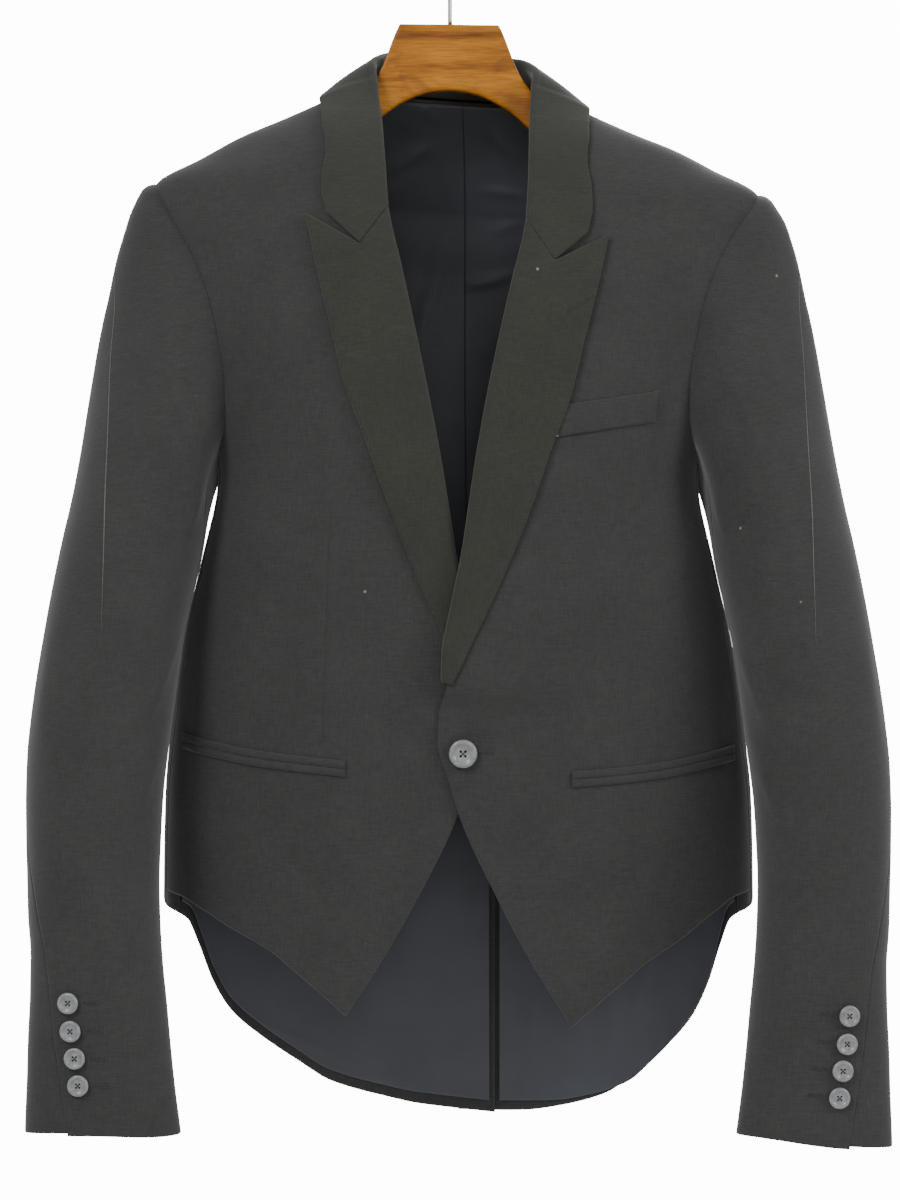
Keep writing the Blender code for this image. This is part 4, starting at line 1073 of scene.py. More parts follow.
# %% Lapels
FOLDED_CLOTH = 1.8
FOLD_RADIUS, FOLD_MIDDLE, FOLD_TUCK = 3.6, -1.0, 6.0
FOLD_ANGLES = np.linspace(-90, 90, 17)
LAPEL_OUTER = Table(
    "drop x",
    (223.4, 106.3), (260.7, 98.4), (297.8, 89.2), (341.9, 78.4), (376.2, 65.6), (415.4, 51.9),
    (449, 39.2), (480.5, 25.9), (513.4, 10.8), (534.4, 1.4), (547, -4.6),
)
GORGE_DROP, BREAK_DROP = 215, 545
PEAK_DROP, LAPEL_END_DROP = 223.4, 547
NOTCH_FALL, LAPEL_NOTCH, COLLAR_NOTCH = 26, 0.343, 0.457
NOTCH_FADE, BELLY_FADE = (-0.04, 0.16), (400, 470)
FOLD_LIFT = FOLD_MIDDLE + FOLD_RADIUS
LAPEL_LIFT = Table("share lift", (0, FOLD_LIFT), (0.3, 3.9), (0.7, 4.3), (1, 4.0))
GORGE_SEAM = 0.28
LAPEL_SHARES = np.unique(np.concatenate((edged(46, (0.01, 0.02))[1:], (LAPEL_NOTCH,))))


# %% Lapel rows
def tent(share, top):
    return np.where(share < top, share / top, (1 - share) / (1 - top))


def folded_row(roll, outer, fall, notch, shares, thin, belly, side):
    """One row of a turned-back front edge: under the cloth, round the fold, and out over the front."""
    width = outer[0] - roll[0]

    def place(x, lift):
        share = np.maximum((x - roll[0]) / width, 0.0)
        drop = blend(roll[1], outer[1], share) + fall * tent(np.minimum(share, 1.0), notch)
        return on_front(x, drop, lift, side)

    tucked = min(FOLD_TUCK, width - 0.5)
    under_x = roll[0] + np.linspace(tucked, FOLD_RADIUS, 5)[:-1]
    under = place(under_x, np.full(4, FOLD_MIDDLE - FOLD_RADIUS + thin))
    reach, rise = np.cos(np.radians(FOLD_ANGLES)), np.sin(np.radians(FOLD_ANGLES))
    fold_x = roll[0] + FOLD_RADIUS - (FOLD_RADIUS - thin) * reach
    fold = place(fold_x, FOLD_MIDDLE + (FOLD_RADIUS - thin) * rise)
    start = FOLD_RADIUS / width
    shares = start + (1 - start) * shares
    lift = blend(FOLD_LIFT, LAPEL_LIFT.at(shares, "lift"), belly)
    leaf = place(blend(roll[0], outer[0], shares), lift - thin)
    return np.concatenate((under, fold, leaf))


def lapel_grid(side, thin):
    rows = []
    for down in edged(110, (0.002, 0.005, 0.01)):
        roll_drop = blend(GORGE_DROP, BREAK_DROP, down)
        outer_drop = blend(PEAK_DROP, LAPEL_END_DROP, down)
        seam = GORGE_SEAM * (1 - smooth(down, 0, 0.05))
        roll = (EDGE.at(roll_drop, "inset"), roll_drop + seam)
        outer = (LAPEL_OUTER.at(outer_drop, "x"), outer_drop + seam)
        fall = NOTCH_FALL * (1 - smooth(down, *NOTCH_FADE)) / (1 - smooth(0, *NOTCH_FADE))
        belly = 1 - smooth(roll_drop, *BELLY_FADE)
        rows.append(folded_row(roll, outer, fall, LAPEL_NOTCH, LAPEL_SHARES, thin, belly, side))
    return np.array(rows)


def make_lapels():
    for side, word in SIDE_NAMES.items():
        outer, inner = (hung(lapel_grid(side, thin), side) for thin in (0.0, FOLDED_CLOTH))
        cloth_piece(f"lapel_{word}", outer, inner, FACING)


make_lapels()

# %% [markdown]
# The collar stands up round the neck, folds over its crest and lies down on the shoulders; in front it
# turns over with the lapel and meets it in the gorge seam. The two ways of making a row are blended where
# one turns into the other, so the whole collar is one grid.

# %% Collar
COLLAR_CREST = Table(
    "along x y drop",
    (0, 0, 60, 90), (0.12, 26, 55, 90), (0.24, 44, 38, 92.5), (0.36, 52.5, 13, 98.5),
    (0.46, 57, -5, 106), (0.56, 55.5, -20, 121),
)
COLLAR_FOOT = Table(
    "along angle drop lift",
    (0, 180, 121.6, -1.8), (0.14, 157, 121.2, -1.8), (0.27, 136, 119.8, -1.8), (0.38, 112, 116.8, -1.8),
    (0.46, 92, 115.5, -1.8), (0.51, 73, 115.0, -1.0), (0.56, 44, 125.5, -3.2),
)
COLLAR_OUTER = Table(
    "along angle drop lift",
    (0, 180, 138, 5), (0.14, 157, 138, 5), (0.27, 136, 137, 5), (0.38, 112, 135, 5),
    (0.47, 88, 133.5, 5), (0.56, 64, 137.5, 5), (0.66, 46, 147, 4), (0.78, 31, 168, 3.2),
    (0.9, 24.7, 197, 2.8), (1, 24.7, 223, 2.8),
)
COLLAR_ROLL = Table("along drop", (0.66, 141), (0.78, 170), (0.9, 195), (1, 215))
STAND_END, TURN_START = 0.56, 0.66
COLLAR_CORNER_X = 91.8
LEAF_BULGE = 1.6
COLLAR_FALL, COLLAR_FALL_START = 25.4, 0.74
COLLAR_SHARES = np.unique(np.concatenate((edged(36, (0.01, 0.02))[1:], (COLLAR_NOTCH,))))


# %% Collar rows
def crest(along):
    return vectors(
        COLLAR_CREST.at(along, "x"), COLLAR_CREST.at(along, "y"), -COLLAR_CREST.at(along, "drop")
    )


def table_point(table, along):
    return body_point(table.at(along, "angle"), table.at(along, "drop"), table.at(along, "lift"))


def collar_back_row(along, thin):
    """Row of the collar where it stands up round the neck, in the plane across its crest."""
    top, foot, outer = crest(along), table_point(COLLAR_FOOT, along), table_point(COLLAR_OUTER, along)
    if along == 0:
        track = np.array((1.0, 0, 0))
    else:
        track = unit(crest(min(along + 0.02, STAND_END)) - crest(max(along - 0.02, 0)))

    def across(vector):
        return unit(vector - track * (vector @ track))

    stand, leaf = across(foot - top), across(outer - top)
    up = -unit(stand + leaf)
    out = unit(np.cross(track, up))
    if out @ (leaf - stand) < 0:
        out = -out
    middle = top - up * FOLD_RADIUS
    turn = np.radians(FOLD_ANGLES)[:, None]
    fold = middle + (up * np.cos(turn) + out * np.sin(turn)) * (FOLD_RADIUS - thin)
    stand_shares = np.linspace(0, 1, 5)[:-1, None]
    standing = blend(foot + out * thin, fold[0], stand_shares)
    face = body_normal(COLLAR_OUTER.at(along, "angle"), COLLAR_OUTER.at(along, "drop"))
    shares = COLLAR_SHARES[:, None]
    off = unit(blend(out, face, shares))
    start = middle + out * FOLD_RADIUS
    leaf_row = blend(start, outer, shares) + off * (LEAF_BULGE * 4 * shares * (1 - shares) - thin)
    return np.concatenate((standing, fold, leaf_row))


def collar_front_row(along, thin):
    roll_drop, outer_drop = COLLAR_ROLL.at(along, "drop"), COLLAR_OUTER.at(along, "drop")
    fall = COLLAR_FALL * smooth(along, COLLAR_FALL_START, 1.0)
    outer_x = body_place(COLLAR_OUTER.at(along, "angle"), outer_drop)[0]
    outer_x = blend(outer_x, COLLAR_CORNER_X, smooth(along, 0.95, 1.0))
    seam = GORGE_SEAM * smooth(along, 0.98, 1.0)
    roll = (EDGE.at(roll_drop, "inset"), roll_drop - seam)
    return folded_row(
        roll, (outer_x, outer_drop - seam), fall, COLLAR_NOTCH, COLLAR_SHARES, thin, 1.0, LEFT
    )


def collar_half(thin):
    """Rows from centre back to the gorge; between stand and turn they bend smoothly into each other."""
    rows = [collar_back_row(along, thin) for along in np.linspace(0, STAND_END, 70)]
    end, start = collar_back_row(STAND_END, thin), collar_front_row(TURN_START, thin)
    rows += [blend(end, start, share) for share in np.linspace(0, 1, 16)[1:-1]]
    turned = TURN_START + (1 - TURN_START) * edged(44, (0.004, 0.01))
    rows += [collar_front_row(along, thin) for along in turned]
    return np.array(rows)


def make_collar():
    faces = []
    for thin in (0.0, FOLDED_CLOTH):
        half = collar_half(thin)
        faces.append(np.concatenate((hung(half[:0:-1], RIGHT), hung(half, LEFT))))
    cloth_piece("collar", *faces, FACING)


make_collar()

# %% [markdown]
# Each hip pocket is a slit between two narrow jets, folded strips that bulge a little. The breast pocket
# has a flat welt. All of them lie on the front's own points, moved out by their seat and their thickness,
# so they follow every fold of the cloth under them.

# %% Pockets
POCKET = Table("x drop", (79, 609.3), (135.6, 603.7), (196, 591.5))
JET_HEIGHT, JET_CLOTH, JET_BULGE = 5.6, 1.0, 0.7
WELT_TOP = Table("x drop", (62, 348.2), (141.3, 335))
WELT_FOOT = Table("x drop", (62, 370.8), (138.6, 356.6))
WELT_CLOTH, WELT_BULGE = 1.2, 0.5
JET_SEAM = 0.1


def strip_grid(top, foot, lift, bulge, side):
    """Grid of a strip lying on a front, between two lines given as x and drop."""
    across = edged(90, (0.004, 0.01))[None, :]
    down = edged(14, (0.03, 0.08))[:, None]
    x = blend(*(blend(line.places[0], line.places[-1], across) for line in (top, foot)), down)
    drop = blend(top.at(x, "drop"), foot.at(x, "drop"), down)
    return on_front(x, drop, lift + bulge * (1 - (2 * down - 1) ** 2), side)


def strip_piece(node, top, foot, cloth, bulge, side, edge):
    """Strip with a crowned face and a flat back, seated on a front."""
    faces = ((cloth, bulge), (0, 0))
    outer, inner = (hung(strip_grid(top, foot, SEAT_GAP + lift, crown, side), side) for lift, crown in faces)
    cloth_piece(node, outer, inner, WOOL, edge=edge)


def moved_line(table, shift):
    rows = [(place, value + shift) for place, value in zip(table.places, table.columns["drop"][0])]
    return Table("x drop", *rows)


def make_pockets():
    for side, word in SIDE_NAMES.items():
        for place, shift in (("upper", -JET_HEIGHT), ("lower", JET_SEAM)):
            top, foot = moved_line(POCKET, shift), moved_line(POCKET, shift + JET_HEIGHT)
            strip_piece(f"jet_{place}_{word}", top, foot, JET_CLOTH, JET_BULGE, side, 1.0)
    strip_piece("breast_welt", WELT_TOP, WELT_FOOT, WELT_CLOTH, WELT_BULGE, LEFT, 1.2)


make_pockets()

# %% [markdown]
# Hand sewing is many short threads. One small rounded rod is repeated for every stitch, each from its own
# start to its own end, so that a whole row of stitches is one mesh.

# %% Stitches
ROD_RINGS, ROD_SIDES = 5, 6
PICK_STEP, PICK_LENGTH, PICK_INSET = 6.0, 1.1, 3.2
FINE_THREAD, STRONG_THREAD = 0.3, 0.42


def rods(name, starts, ends, ups, radius, finish=THREAD, squash=1.0):
    """Short rounded threads from starts to ends, flattened along their ups by squash."""
    along = ends - starts
    length = np.linalg.norm(along, axis=1, keepdims=True)
    along = along / length
    side = unit(np.cross(along, ups))
    up = np.cross(along, side)
    steps = np.linspace(-1, 1, ROD_RINGS)
    girth = np.sqrt(1 - (steps * 0.92) ** 2) * radius
    turns = np.arange(ROD_SIDES) * 2 * pi / ROD_SIDES
    middle = (starts + ends) / 2
    points = (
        middle[:, None, None]
        + along[:, None, None] * (length / 2)[:, None, None] * steps[None, :, None, None]
        + side[:, None, None] * (girth[:, None] * np.cos(turns))[None, :, :, None]
        + up[:, None, None] * (girth[:, None] * np.sin(turns))[None, :, :, None] * squash
    )
    count = len(starts)
    base = (np.arange(count) * ROD_RINGS * ROD_SIDES)[:, None, None]
    ring, turn = np.arange(ROD_RINGS - 1)[:, None], np.arange(ROD_SIDES)[None, :]
    a = ring * ROD_SIDES + turn
    b = ring * ROD_SIDES + (turn + 1) % ROD_SIDES
    quads = np.stack((a, b, b + ROD_SIDES, a + ROD_SIDES), axis=-1).reshape(-1, 4)
    last = (ROD_RINGS - 1) * ROD_SIDES
    caps = [(5, 2, 1, 0), (5, 4, 3, 2)]
    caps += [(last, last + 1, last + 2, last + 5), (last + 2, last + 3, last + 4, last + 5)]
    faces = (np.concatenate((quads, caps))[None] + base.reshape(-1, 1, 1)).reshape(-1, 4)
    place_piece(name, mesh_of(name, points.reshape(-1, 3), faces), finish)


def along_line(points, step, length):
    """Starts and ends of stitches of a length, spaced by a step along a line of world points."""
    run = np.concatenate(([0], np.cumsum(np.linalg.norm(np.diff(points, axis=0), axis=1))))
    places = np.arange(step / 2, run[-1] - length, step)
    read = [np.interp(np.concatenate((places, places + length)), run, points[:, k]) for k in range(3)]
    both = np.stack(read, axis=1)
    return both[:len(places)], both[len(places):]


def pick_row(name, line, lifted_line):
    starts, ends = along_line(line, PICK_STEP * MM, PICK_LENGTH * MM)
    ups = np.broadcast_to(unit(lifted_line.mean(axis=0) - line.mean(axis=0)), starts.shape)
    rods(name, starts, ends, ups, FINE_THREAD * MM, squash=0.7)
    return len(starts)


def lapel_edge_line(side, lift):
    """Line just inside the lapel's outer edge, on its face."""
    drops = np.linspace(PEAK_DROP + 6, LAPEL_END_DROP - 6, 160)
    x = LAPEL_OUTER.at(drops, "x")
    on_leaf = LAPEL_LIFT.at(np.ones_like(drops), "lift")
    belly = 1 - smooth(drops, *BELLY_FADE)
    height = blend(FOLD_LIFT, on_leaf, belly)
    return hung(on_front(x - PICK_INSET, drops, height + lift, side), side)


def front_edge_line(side, lift):
    drops = np.linspace(BREAK_DROP + 22, FRONT_POINT_DROP - 8, 160)
    x = EDGE.at(drops, "inset") + PICK_INSET
    return hung(on_front(x, drops, lift, side), side)


def make_pick_stitches():
    for side, word in SIDE_NAMES.items():
        for kind, line in (("lapel", lapel_edge_line), ("front", front_edge_line)):
            count = pick_row(f"pick_stitches_{kind}_{word}", line(side, 0.05), line(side, 1.0))
            print(f"{kind} {word}: {count} pick stitches")


make_pick_stitches()

# %% [markdown]
# The buttons are grey horn, turned on a lathe: a flat back, a raised rim, a dished middle and four drilled
# holes. The profile is spun with a Screw modifier and drilled with a Boolean one, and a cross of thread
# holds each button down.

# %% Buttons
FRONT_BUTTON, CUFF_BUTTON = (20, 4.0), (15, 3.2)
FRONT_BUTTON_X, FRONT_BUTTON_DROP = 3.1, 594.4
CUFF_BUTTONS = ((68, 770.6), (70, 790), (73, 808.7), (75, 827.4))
BUTTON_SIDES, DRILL_SIDES = 56, 16
BUTTON_PROFILE = (
    (0, 0.62), (0.3, 0.62), (0.5, 0.64), (0.6, 0.7), (0.66, 0.86), (0.72, 0.97), (0.8, 1.0), (0.88, 0.98),
    (0.95, 0.88), (0.99, 0.72), (1.0, 0.55), (0.98, 0.38), (0.93, 0.18), (0.85, 0.04), (0.8, 0), (0, 0),
)
HOLE_SPREAD, HOLE_RADIUS = 0.115, 0.045
HOLE_TURNS = [pi / 4 + quarter * pi / 2 for quarter in range(4)]
MERGE_WITHIN = 0.00003
CROSS_REACH, CROSS_LIFT = 0.72, 0.15


def make_horn():
    made, tree, shader = new_finish("grey_horn", Specular_IOR_Level=0.5, Coat_Roughness=0.2, Coat_Weight=0.25)
    tone = use_group(tree, TONE, Colour=(0.15, 0.155, 0.158, 1), Patch=0.004, Strength=0.35)
    cloud = use_group(tree, TONE, Colour=tone.outputs["Colour"], Patch=0.0012, Strength=0.15)
    tree.links.new(cloud.outputs["Colour"], shader.inputs["Base Color"])
    noise = add_node(tree, "ShaderNodeTexNoise", Scale=900.0, Detail=3.0)
    tree.links.new(tree.nodes.new("ShaderNodeTexCoord").outputs["Object"], noise.inputs["Vector"])
    tree.links.new(ranged(tree, noise.outputs["Fac"], 0.3, 0.7, 0.28, 0.42), shader.inputs["Roughness"])
    bumped(tree, shader, noise.outputs["Fac"], 0.1, 0.0001)
    return made


HORN = make_horn()


# %% Turning and drilling
def button_data(name, diameter, thickness):
    """Mesh of a four-hole button, its back at z 0."""
    radius = diameter / 2
    mesh = bpy.data.meshes.new(f"{name}_profile")
    points = [(share * radius * MM, 0, height * thickness * MM) for share, height in BUTTON_PROFILE]
    mesh.from_pydata(points, [(i, i + 1) for i in range(len(points) - 1)], [])
    turned = bpy.data.objects.new(f"{name}_turned", mesh)
    bpy.context.scene.collection.objects.link(turned)
    screw = turned.modifiers.new("Turn", "SCREW")
    screw.steps = screw.render_steps = BUTTON_SIDES
    screw.use_merge_vertices = True
    screw.merge_threshold = MERGE_WITHIN
    drills = bmesh.new()
    bore = HOLE_RADIUS * diameter * MM
    for turn in HOLE_TURNS:
        at = Matrix.Translation(Vector((cos(turn), sin(turn), 0)) * HOLE_SPREAD * diameter * MM)
        bmesh.ops.create_cone(
            drills, cap_ends=True, segments=DRILL_SIDES, radius1=bore, radius2=bore,
            depth=4 * thickness * MM, matrix=at,
        )
    drill_data = bpy.data.meshes.new(f"{name}_drills")
    drills.to_mesh(drill_data)
    drills.free()
    drill = bpy.data.objects.new(f"{name}_drills", drill_data)
    bpy.context.scene.collection.objects.link(drill)
    cut = turned.modifiers.new("Holes", "BOOLEAN")
    cut.operation, cut.solver, cut.object = "DIFFERENCE", "EXACT", drill
    bpy.context.view_layer.update()
    made = bpy.data.meshes.new_from_object(turned.evaluated_get(bpy.context.evaluated_depsgraph_get()))
    made.materials.clear()
    bpy.data.objects.remove(turned)
    bpy.data.objects.remove(drill)
    made.shade_smooth()
    made.set_sharp_from_angle(angle=radians(40))
    return made


def sew_on(node, mesh, size, place, side):
    """Put a button and the thread in its holes on the cloth, where its CAD node is."""
    seat = Vector(hung(place(SEAT_GAP), side))
    above = Vector(hung(place(SEAT_GAP + 1), side))
    turn = (above - seat).to_track_quat("Z", "Y").to_matrix().to_4x4()
    data = mesh.copy()
    data.transform(Matrix.Translation(seat) @ turn)
    place_piece(f"horn_{node}", data, HORN, (node,))
    spread = HOLE_SPREAD * size[0] * MM * CROSS_REACH
    top = (BUTTON_PROFILE[0][1] * size[1] + CROSS_LIFT) * MM
    corners = [Vector((cos(at) * spread, sin(at) * spread, top)) for at in HOLE_TURNS]
    world = np.array([Matrix.Translation(seat) @ turn @ corner for corner in corners])
    up = np.broadcast_to(np.array((above - seat).normalized()), (2, 3))
    rods(f"thread_{node}", world[:2], world[2:], up, STRONG_THREAD * MM)


def make_buttons():
    front = button_data("front_button", *FRONT_BUTTON)
    sew_on("front_button", front, FRONT_BUTTON,
           lambda lift: on_front(np.array(FRONT_BUTTON_X), FRONT_BUTTON_DROP, lift, LEFT), LEFT)
    cuff = button_data("cuff_button", *CUFF_BUTTON)
    for side, word in SIDE_NAMES.items():
        for number, (turn, drop) in enumerate(CUFF_BUTTONS, start=1):
            sew_on(f"cuff_button_{word}_{number}", cuff, CUFF_BUTTON,
                   lambda lift: sleeve_point(np.array(turn), drop, lift), side)
    print("buttons:", 1 + 2 * len(CUFF_BUTTONS), "with", len(front.polygons), "faces on the front one")


make_buttons()

# %% [markdown]
# A worked buttonhole is a slit with close stitches over both lips and round its end. It is made of the
# same rods, standing side by side across the slit. A reader of places is handed in with each one, so that
# the same few lines sew a buttonhole on the front, on the lapel and on the round of a cuff.

# %% Buttonholes
HOLE_STITCH_STEP, HOLE_LIP, SLIT_HALF, HOLE_END = 0.55, 1.1, 0.25, 0.3
HOLE_FAN = np.radians(np.linspace(-75, 75, 7))
STITCH_LIFT, SLIT_LIFT = 0.12, 0.05
FRONT_HOLE = ((12.5, 593.2), (24, 592.6))
LAPEL_HOLE = ((76.5, 281), (95, 268))
CUFF_HOLE = ((8, -0.6), (14.5, -0.9))
CUFF_TURN, CUFF_MM_PER_DEGREE = 70, 0.62


def buttonhole(name, place, start, end):
    """Worked buttonhole from start to end; place turns the cloth's two measures and a lift into a point."""
    start, end = np.array(start, float), np.array(end, float)
    run = np.linalg.norm(end - start)
    ahead = (end - start) / run
    beside = np.array((-ahead[1], ahead[0]))
    starts, ends = [], []
    for distance in np.arange(0, run, HOLE_STITCH_STEP):
        for hand in (-1, 1):
            lip = start + ahead * distance
            starts.append(lip + beside * hand * SLIT_HALF)
            ends.append(lip + beside * hand * (SLIT_HALF + HOLE_LIP))
    for turn in HOLE_FAN:
        out = ahead * np.cos(turn) + beside * np.sin(turn)
        starts.append(end + out * HOLE_END)
        ends.append(end + out * (HOLE_END + HOLE_LIP))
    up = unit(place(*start, 1.0) - place(*start, 0.0))
    points = [place(*np.array(row).T, STITCH_LIFT) for row in (starts, ends)]
    rods(name, *points, np.broadcast_to(up, points[0].shape), FINE_THREAD * MM)
    slit = [place(*spot, SLIT_LIFT)[None] for spot in (start, end)]
    rods(f"{name}_slit", *slit, up[None], STRONG_THREAD * MM, SLIT_SHADE, squash=0.5)


def on_left_front(x, drop, lift):
    return hung(on_front(x, drop, lift, LEFT), LEFT)


def on_left_lapel(x, drop, lift):
    edge = EDGE.at(drop, "inset")
    share = np.clip((np.asarray(x) - edge) / (LAPEL_OUTER.at(drop, "x") - edge), 0, 1)
    return on_left_front(x, drop, LAPEL_LIFT.at(share, "lift") + lift)


def on_cuff(side):
    """Reader of places on a cuff, by the distance round it and the drop."""
    def place(distance, drop, lift):
        turn = CUFF_TURN + np.asarray(distance) / CUFF_MM_PER_DEGREE
        return hung(sleeve_point(turn, drop, lift), side)

    return place


def make_buttonholes():
    buttonhole("front_buttonhole", on_left_front, *FRONT_HOLE)
    buttonhole("lapel_buttonhole", on_left_lapel, *LAPEL_HOLE)
    for side, word in SIDE_NAMES.items():
        for number, (turn, drop) in enumerate(CUFF_BUTTONS, start=1):
            middle = (turn - CUFF_TURN) * CUFF_MM_PER_DEGREE
            ends = [(middle + past, drop + rise) for past, rise in CUFF_HOLE]
            buttonhole(f"cuff_buttonhole_{word}_{number}", on_cuff(side), *ends)
    print("buttonholes:", 2 + 2 * len(CUFF_BUTTONS))


make_buttonholes()

# %% [markdown]
# The hanger is one board of stained wood. At the neck it is flat with thin pale chamfers, where the stain
# has worn through, and towards the shoulders it swells into rounded arms. Its section is a squared round
# that gets rounder outwards; a number on each point marks the worn edges for the finish.

# %% Hanger
HANGER = Table(
    "x top foot depth square",
    (-12, 75, 123.6, 6, 9), (0, 75, 122.6, 6, 9), (12, 75, 123.6, 6, 9), (24, 75, 126.8, 6, 9),
    (35, 75, 132.0, 6, 9), (37, 78, 133.2, 6, 9), (48.5, 106.5, 141.5, 6, 9),
    (56, 118.6, 148.3, 6, 6), (66, 128, 156, 6.6, 4), (92, 143, 174, 12, 3.2), (120, 153.8, 187, 15, 3),
    (150, 167, 198, 17, 3), (180, 182, 210, 18, 3), (196, 190.3, 214.5, 16, 2.8), (203, 195.5, 212, 11, 2.4),
)
HANGER_CENTRE, HANGER_TILT = -0.5, 2.5 / 200
SECTION_POINTS, HANGER_RINGS = 72, 150
EXTRA_RINGS = (36, 202.4, 202.8)
WORN_CORNER, WORN_SPAN = (0.93, 0.975), (52, 70)


# %% Stained wood
WOOD_DARK, WOOD_MIDDLE, WOOD_LIGHT = (0.115, 0.036, 0.003), (0.29, 0.102, 0.006), (0.385, 0.15, 0.011)
WOOD_BLOTCH, WOOD_WORN = (0.10, 0.032, 0.006), (0.5, 0.29, 0.08)


def make_wood():
    made, tree, shader = new_finish(
        "stained_wood", Coat_Weight=0.05, Coat_Roughness=0.35, Specular_IOR_Level=0.15
    )
    place = tree.nodes.new("ShaderNodeTexCoord").outputs["Object"]

    def grain(scale, detail, roughness):
        wide = add_node(tree, "ShaderNodeMapping", Vector=place, Scale=scale)
        return add_node(
            tree, "ShaderNodeTexNoise", Vector=wide.outputs[0], Scale=1.0, Detail=detail, Roughness=roughness,
            Distortion=0.6,
        ).outputs["Fac"]

    broad, fine = grain((9, 60, 60), 3.0, 0.55), grain((60, 700, 900), 3.0, 0.6)
    blotch = grain((26, 26, 26), 3.0, 0.6)
    ramp = tree.nodes.new("ShaderNodeValToRGB")
    first, last = ramp.color_ramp.elements
    first.position, first.color = 0.3, (*WOOD_DARK, 1)
    last.position, last.color = 0.68, (*WOOD_LIGHT, 1)
    ramp.color_ramp.elements.new(0.48).color = (*WOOD_MIDDLE, 1)
    tree.links.new(broad, ramp.inputs["Fac"])
    streaks = ranged(tree, fine, 0.35, 0.65, 0.72, 1.12)
    base = mixed(tree, "MULTIPLY", 1.0, ramp.outputs["Color"], grey_of(tree, streaks))
    dark = ranged(tree, blotch, 0.52, 0.68, 0, 0.75)
    base = mixed(tree, "MIX", dark, base, (*WOOD_BLOTCH, 1))
    worn = add_node(tree, "ShaderNodeAttribute", {"attribute_name": "worn_edge"}).outputs["Fac"]
    worn = maths(tree, "MULTIPLY", worn, ranged(tree, blotch, 0.3, 0.6, 0.9, 0.45))
    base = mixed(tree, "MIX", worn, base, (*WOOD_WORN, 1))
    tree.links.new(base, shader.inputs["Base Color"])
    tree.links.new(ranged(tree, fine, 0.3, 0.7, 0.5, 0.36), shader.inputs["Roughness"])
    bumped(tree, shader, fine, 0.12, 0.0003)
    return made


WOOD = make_wood()


# %% Hanger shape
def make_hanger():
    steps = np.linspace(0, HANGER.places[-1], HANGER_RINGS)
    half = np.unique(np.concatenate((steps, HANGER.places[1:], EXTRA_RINGS)))
    x = np.concatenate((-half[:0:-1], half))[:, None]
    size = np.abs(x)
    angle = 360 * (np.arange(SECTION_POINTS) + 0.5) / SECTION_POINTS
    across, up = superellipse(angle[None, :], HANGER.at(size, "square"))
    middle = (HANGER.at(size, "top") + HANGER.at(size, "foot")) / 2 + HANGER_TILT * x
    height = (HANGER.at(size, "foot") - HANGER.at(size, "top")) / 2
    y = HANGER.at(size, "depth") * across
    mesh = tube_mesh("hanger", vectors(x + HANGER_CENTRE, y, height * up - middle) * MM)
    closeness = np.minimum(np.abs(across), np.abs(up)) / np.maximum(np.abs(across), np.abs(up))
    worn = smooth(closeness, *WORN_CORNER) * (1 - smooth(size, *WORN_SPAN))
    layer = mesh.attributes.new("worn_edge", "FLOAT", "POINT")
    layer.data.foreach_set("value", worn.astype(np.float32).ravel())
    place_piece("wooden_hanger", mesh, WOOD, ("hanger",))
    print("hanger:", len(mesh.polygons), "faces")


make_hanger()

# %% [markdown]
# The hook is bright steel wire, bent round in one plane. A bevelled curve would do as well, but a ring of
# points that is carried along its route ends in a small chamfer, as cut wire does.

# %% Hook
HOOK_WIRE, HOOK_INSIDE = 3.2, 20
HOOK_START, HOOK_END = 200, -38
LEAVING_PULL, STEM_PULL = 26, 22
STEM_TOP, STEM_FOOT = 56, 74.6
WIRE_SIDES = 20
WIRE_END = 0.55


def make_steel():
    made, tree, shader = new_finish("plated_steel", Metallic=1.0)
    tone = use_group(tree, TONE, Colour=(0.42, 0.42, 0.43, 1), Patch=0.006, Strength=0.12)
    tree.links.new(tone.outputs["Colour"], shader.inputs["Base Color"])
    noise = add_node(tree, "ShaderNodeTexNoise", Scale=400.0, Detail=4.0)
    tree.links.new(tree.nodes.new("ShaderNodeTexCoord").outputs["Object"], noise.inputs["Vector"])
    tree.links.new(ranged(tree, noise.outputs["Fac"], 0.3, 0.7, 0.2, 0.34), shader.inputs["Roughness"])
    return made


def hook_route():
    radius = HOOK_INSIDE + HOOK_WIRE / 2
    turn = np.radians(np.linspace(HOOK_START, HOOK_END, 72))
    arc = vectors(radius * np.cos(turn), 0, radius * np.sin(turn) - HOOK_INSIDE)
    end = radians(HOOK_END)
    leaving = np.array((sin(end), 0, -cos(end))) * LEAVING_PULL
    share = np.linspace(0, 1, 28)[1:, None]
    bend = hermite(arc[-1], leaving, np.array((0, 0, -STEM_TOP)), np.array((0, 0, -STEM_PULL)), share)
    stem = vectors(0, 0, -np.linspace(STEM_TOP, STEM_FOOT, 8)[1:])
    return np.concatenate((arc, bend, stem))


def make_hook():
    route = hook_route()
    ahead = unit(np.gradient(route, axis=0))
    side = np.broadcast_to(np.array((0.0, 1.0, 0.0)), route.shape)
    up = np.cross(ahead, side)
    girth = np.full(len(route), HOOK_WIRE / 2)
    girth[0] *= WIRE_END
    turns = np.arange(WIRE_SIDES) * 2 * pi / WIRE_SIDES
    ring = side[:, None] * np.cos(turns)[None, :, None] + up[:, None] * np.sin(turns)[None, :, None]
    mesh = tube_mesh("hook", (route[:, None] + ring * girth[:, None, None]) * MM)
    place_piece("steel_hook", mesh, make_steel(), ("hook",))
    print("hook:", len(mesh.polygons), "faces")


make_hook()

# %% [markdown]
# Each sewn panel prints its flat width and length and its area, all in metres, as it is made. These are the
# sizes of what shows, without seam allowances.


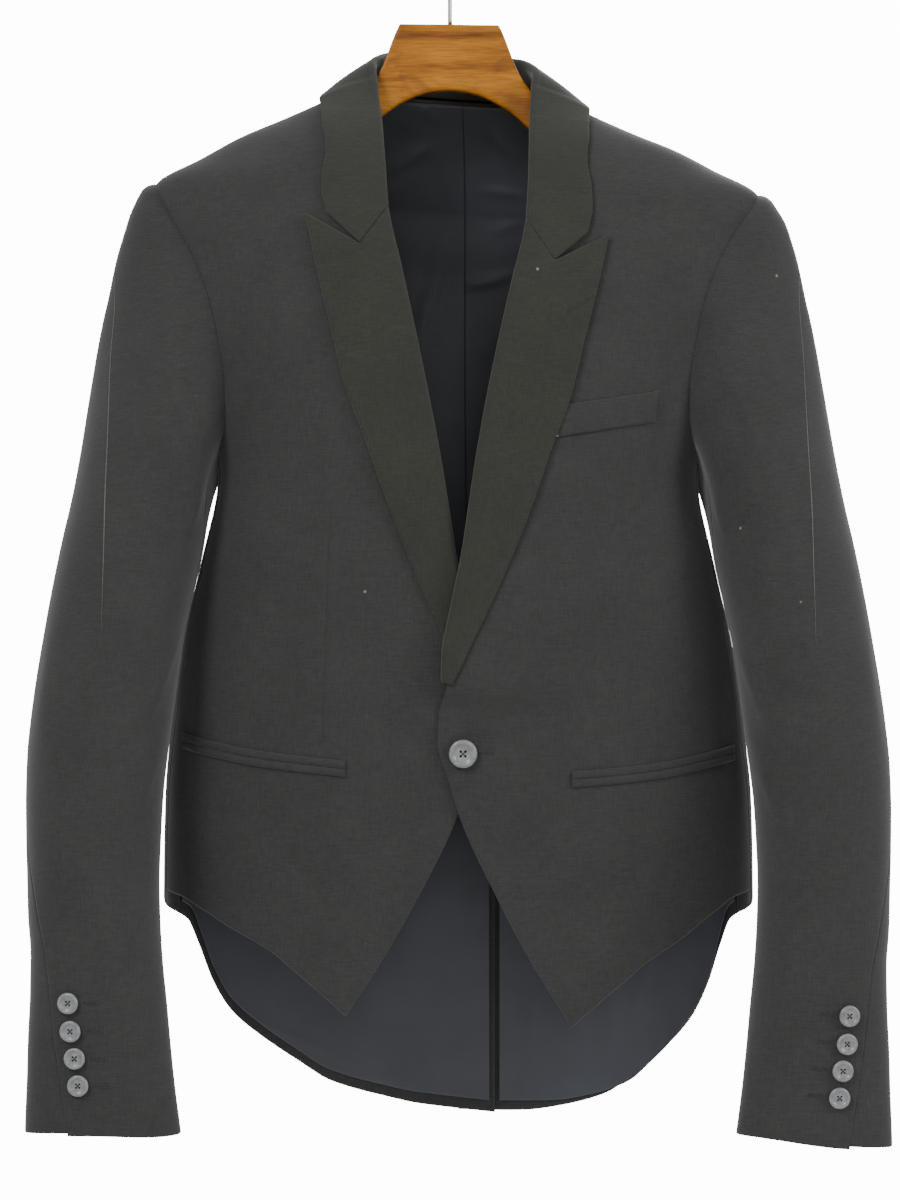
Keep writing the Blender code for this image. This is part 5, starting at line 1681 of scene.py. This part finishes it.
# %% [markdown]
# A plain pale floor lies well below the hem. The light is soft and nearly even, as in a product studio: a
# bright surround, a large lamp above on the left, a weaker one on the right, a faint one in front for the
# lining and one behind. The surround looks white to the camera but lights the cloth more gently, which is
# done with the Light Path node of the world.

# %% Floor and light
FLOOR_Z, FLOOR_RADIUS = -1.06, 0.8
SURROUND_LIGHT, SURROUND_SEEN = 0.8, 14.0
MIDDLE = (0, 0, -0.45)
LAMPS = (
    # name, place, size in metres, power in watts
    ("key_lamp", (-1.5, -2.0, 1.3), 1.1, 62),
    ("front_lamp", (0.2, -3.1, -0.2), 0.9, 11),
    ("side_lamp", (2.4, -1.2, 0.4), 1.0, 40),
    ("back_lamp", (0.8, 2.4, 0.9), 1.2, 40),
)


def make_floor():
    mesh = bpy.data.meshes.new("studio_floor")
    made = bmesh.new()
    bmesh.ops.create_circle(made, cap_ends=True, segments=128, radius=FLOOR_RADIUS)
    made.to_mesh(mesh)
    made.free()
    paper, tree, shader = new_finish("floor_paper", Roughness=0.9)
    tone = use_group(tree, TONE, Colour=(0.86, 0.86, 0.86, 1), Patch=0.3, Strength=0.01)
    tree.links.new(tone.outputs["Colour"], shader.inputs["Base Color"])
    mesh.materials.append(paper)
    floor = bpy.data.objects.new("studio_floor", mesh)
    floor.location = (0, 0, FLOOR_Z)
    bpy.context.scene.collection.objects.link(floor)


def lamp(name, place, size, power):
    data = bpy.data.lights.new(name, "AREA")
    data.shape = "DISK"
    data.size = size
    data.energy = power
    made = bpy.data.objects.new(name, data)
    made.location = place
    made.rotation_euler = (Vector(MIDDLE) - Vector(place)).to_track_quat("-Z", "Y").to_euler()
    bpy.context.scene.collection.objects.link(made)


def make_surround():
    world = bpy.data.worlds.new("studio")
    world.use_nodes = True
    tree = world.node_tree
    shade = tree.nodes["Background"]
    shade.inputs["Color"].default_value = (1, 1, 1, 1)
    seen = tree.nodes.new("ShaderNodeLightPath").outputs["Is Camera Ray"]
    tree.links.new(ranged(tree, seen, 0, 1, SURROUND_LIGHT, SURROUND_SEEN), shade.inputs["Strength"])
    bpy.context.scene.world = world


make_floor()
make_surround()
for row in LAMPS:
    lamp(*row)
print("lamps:", len(LAMPS))
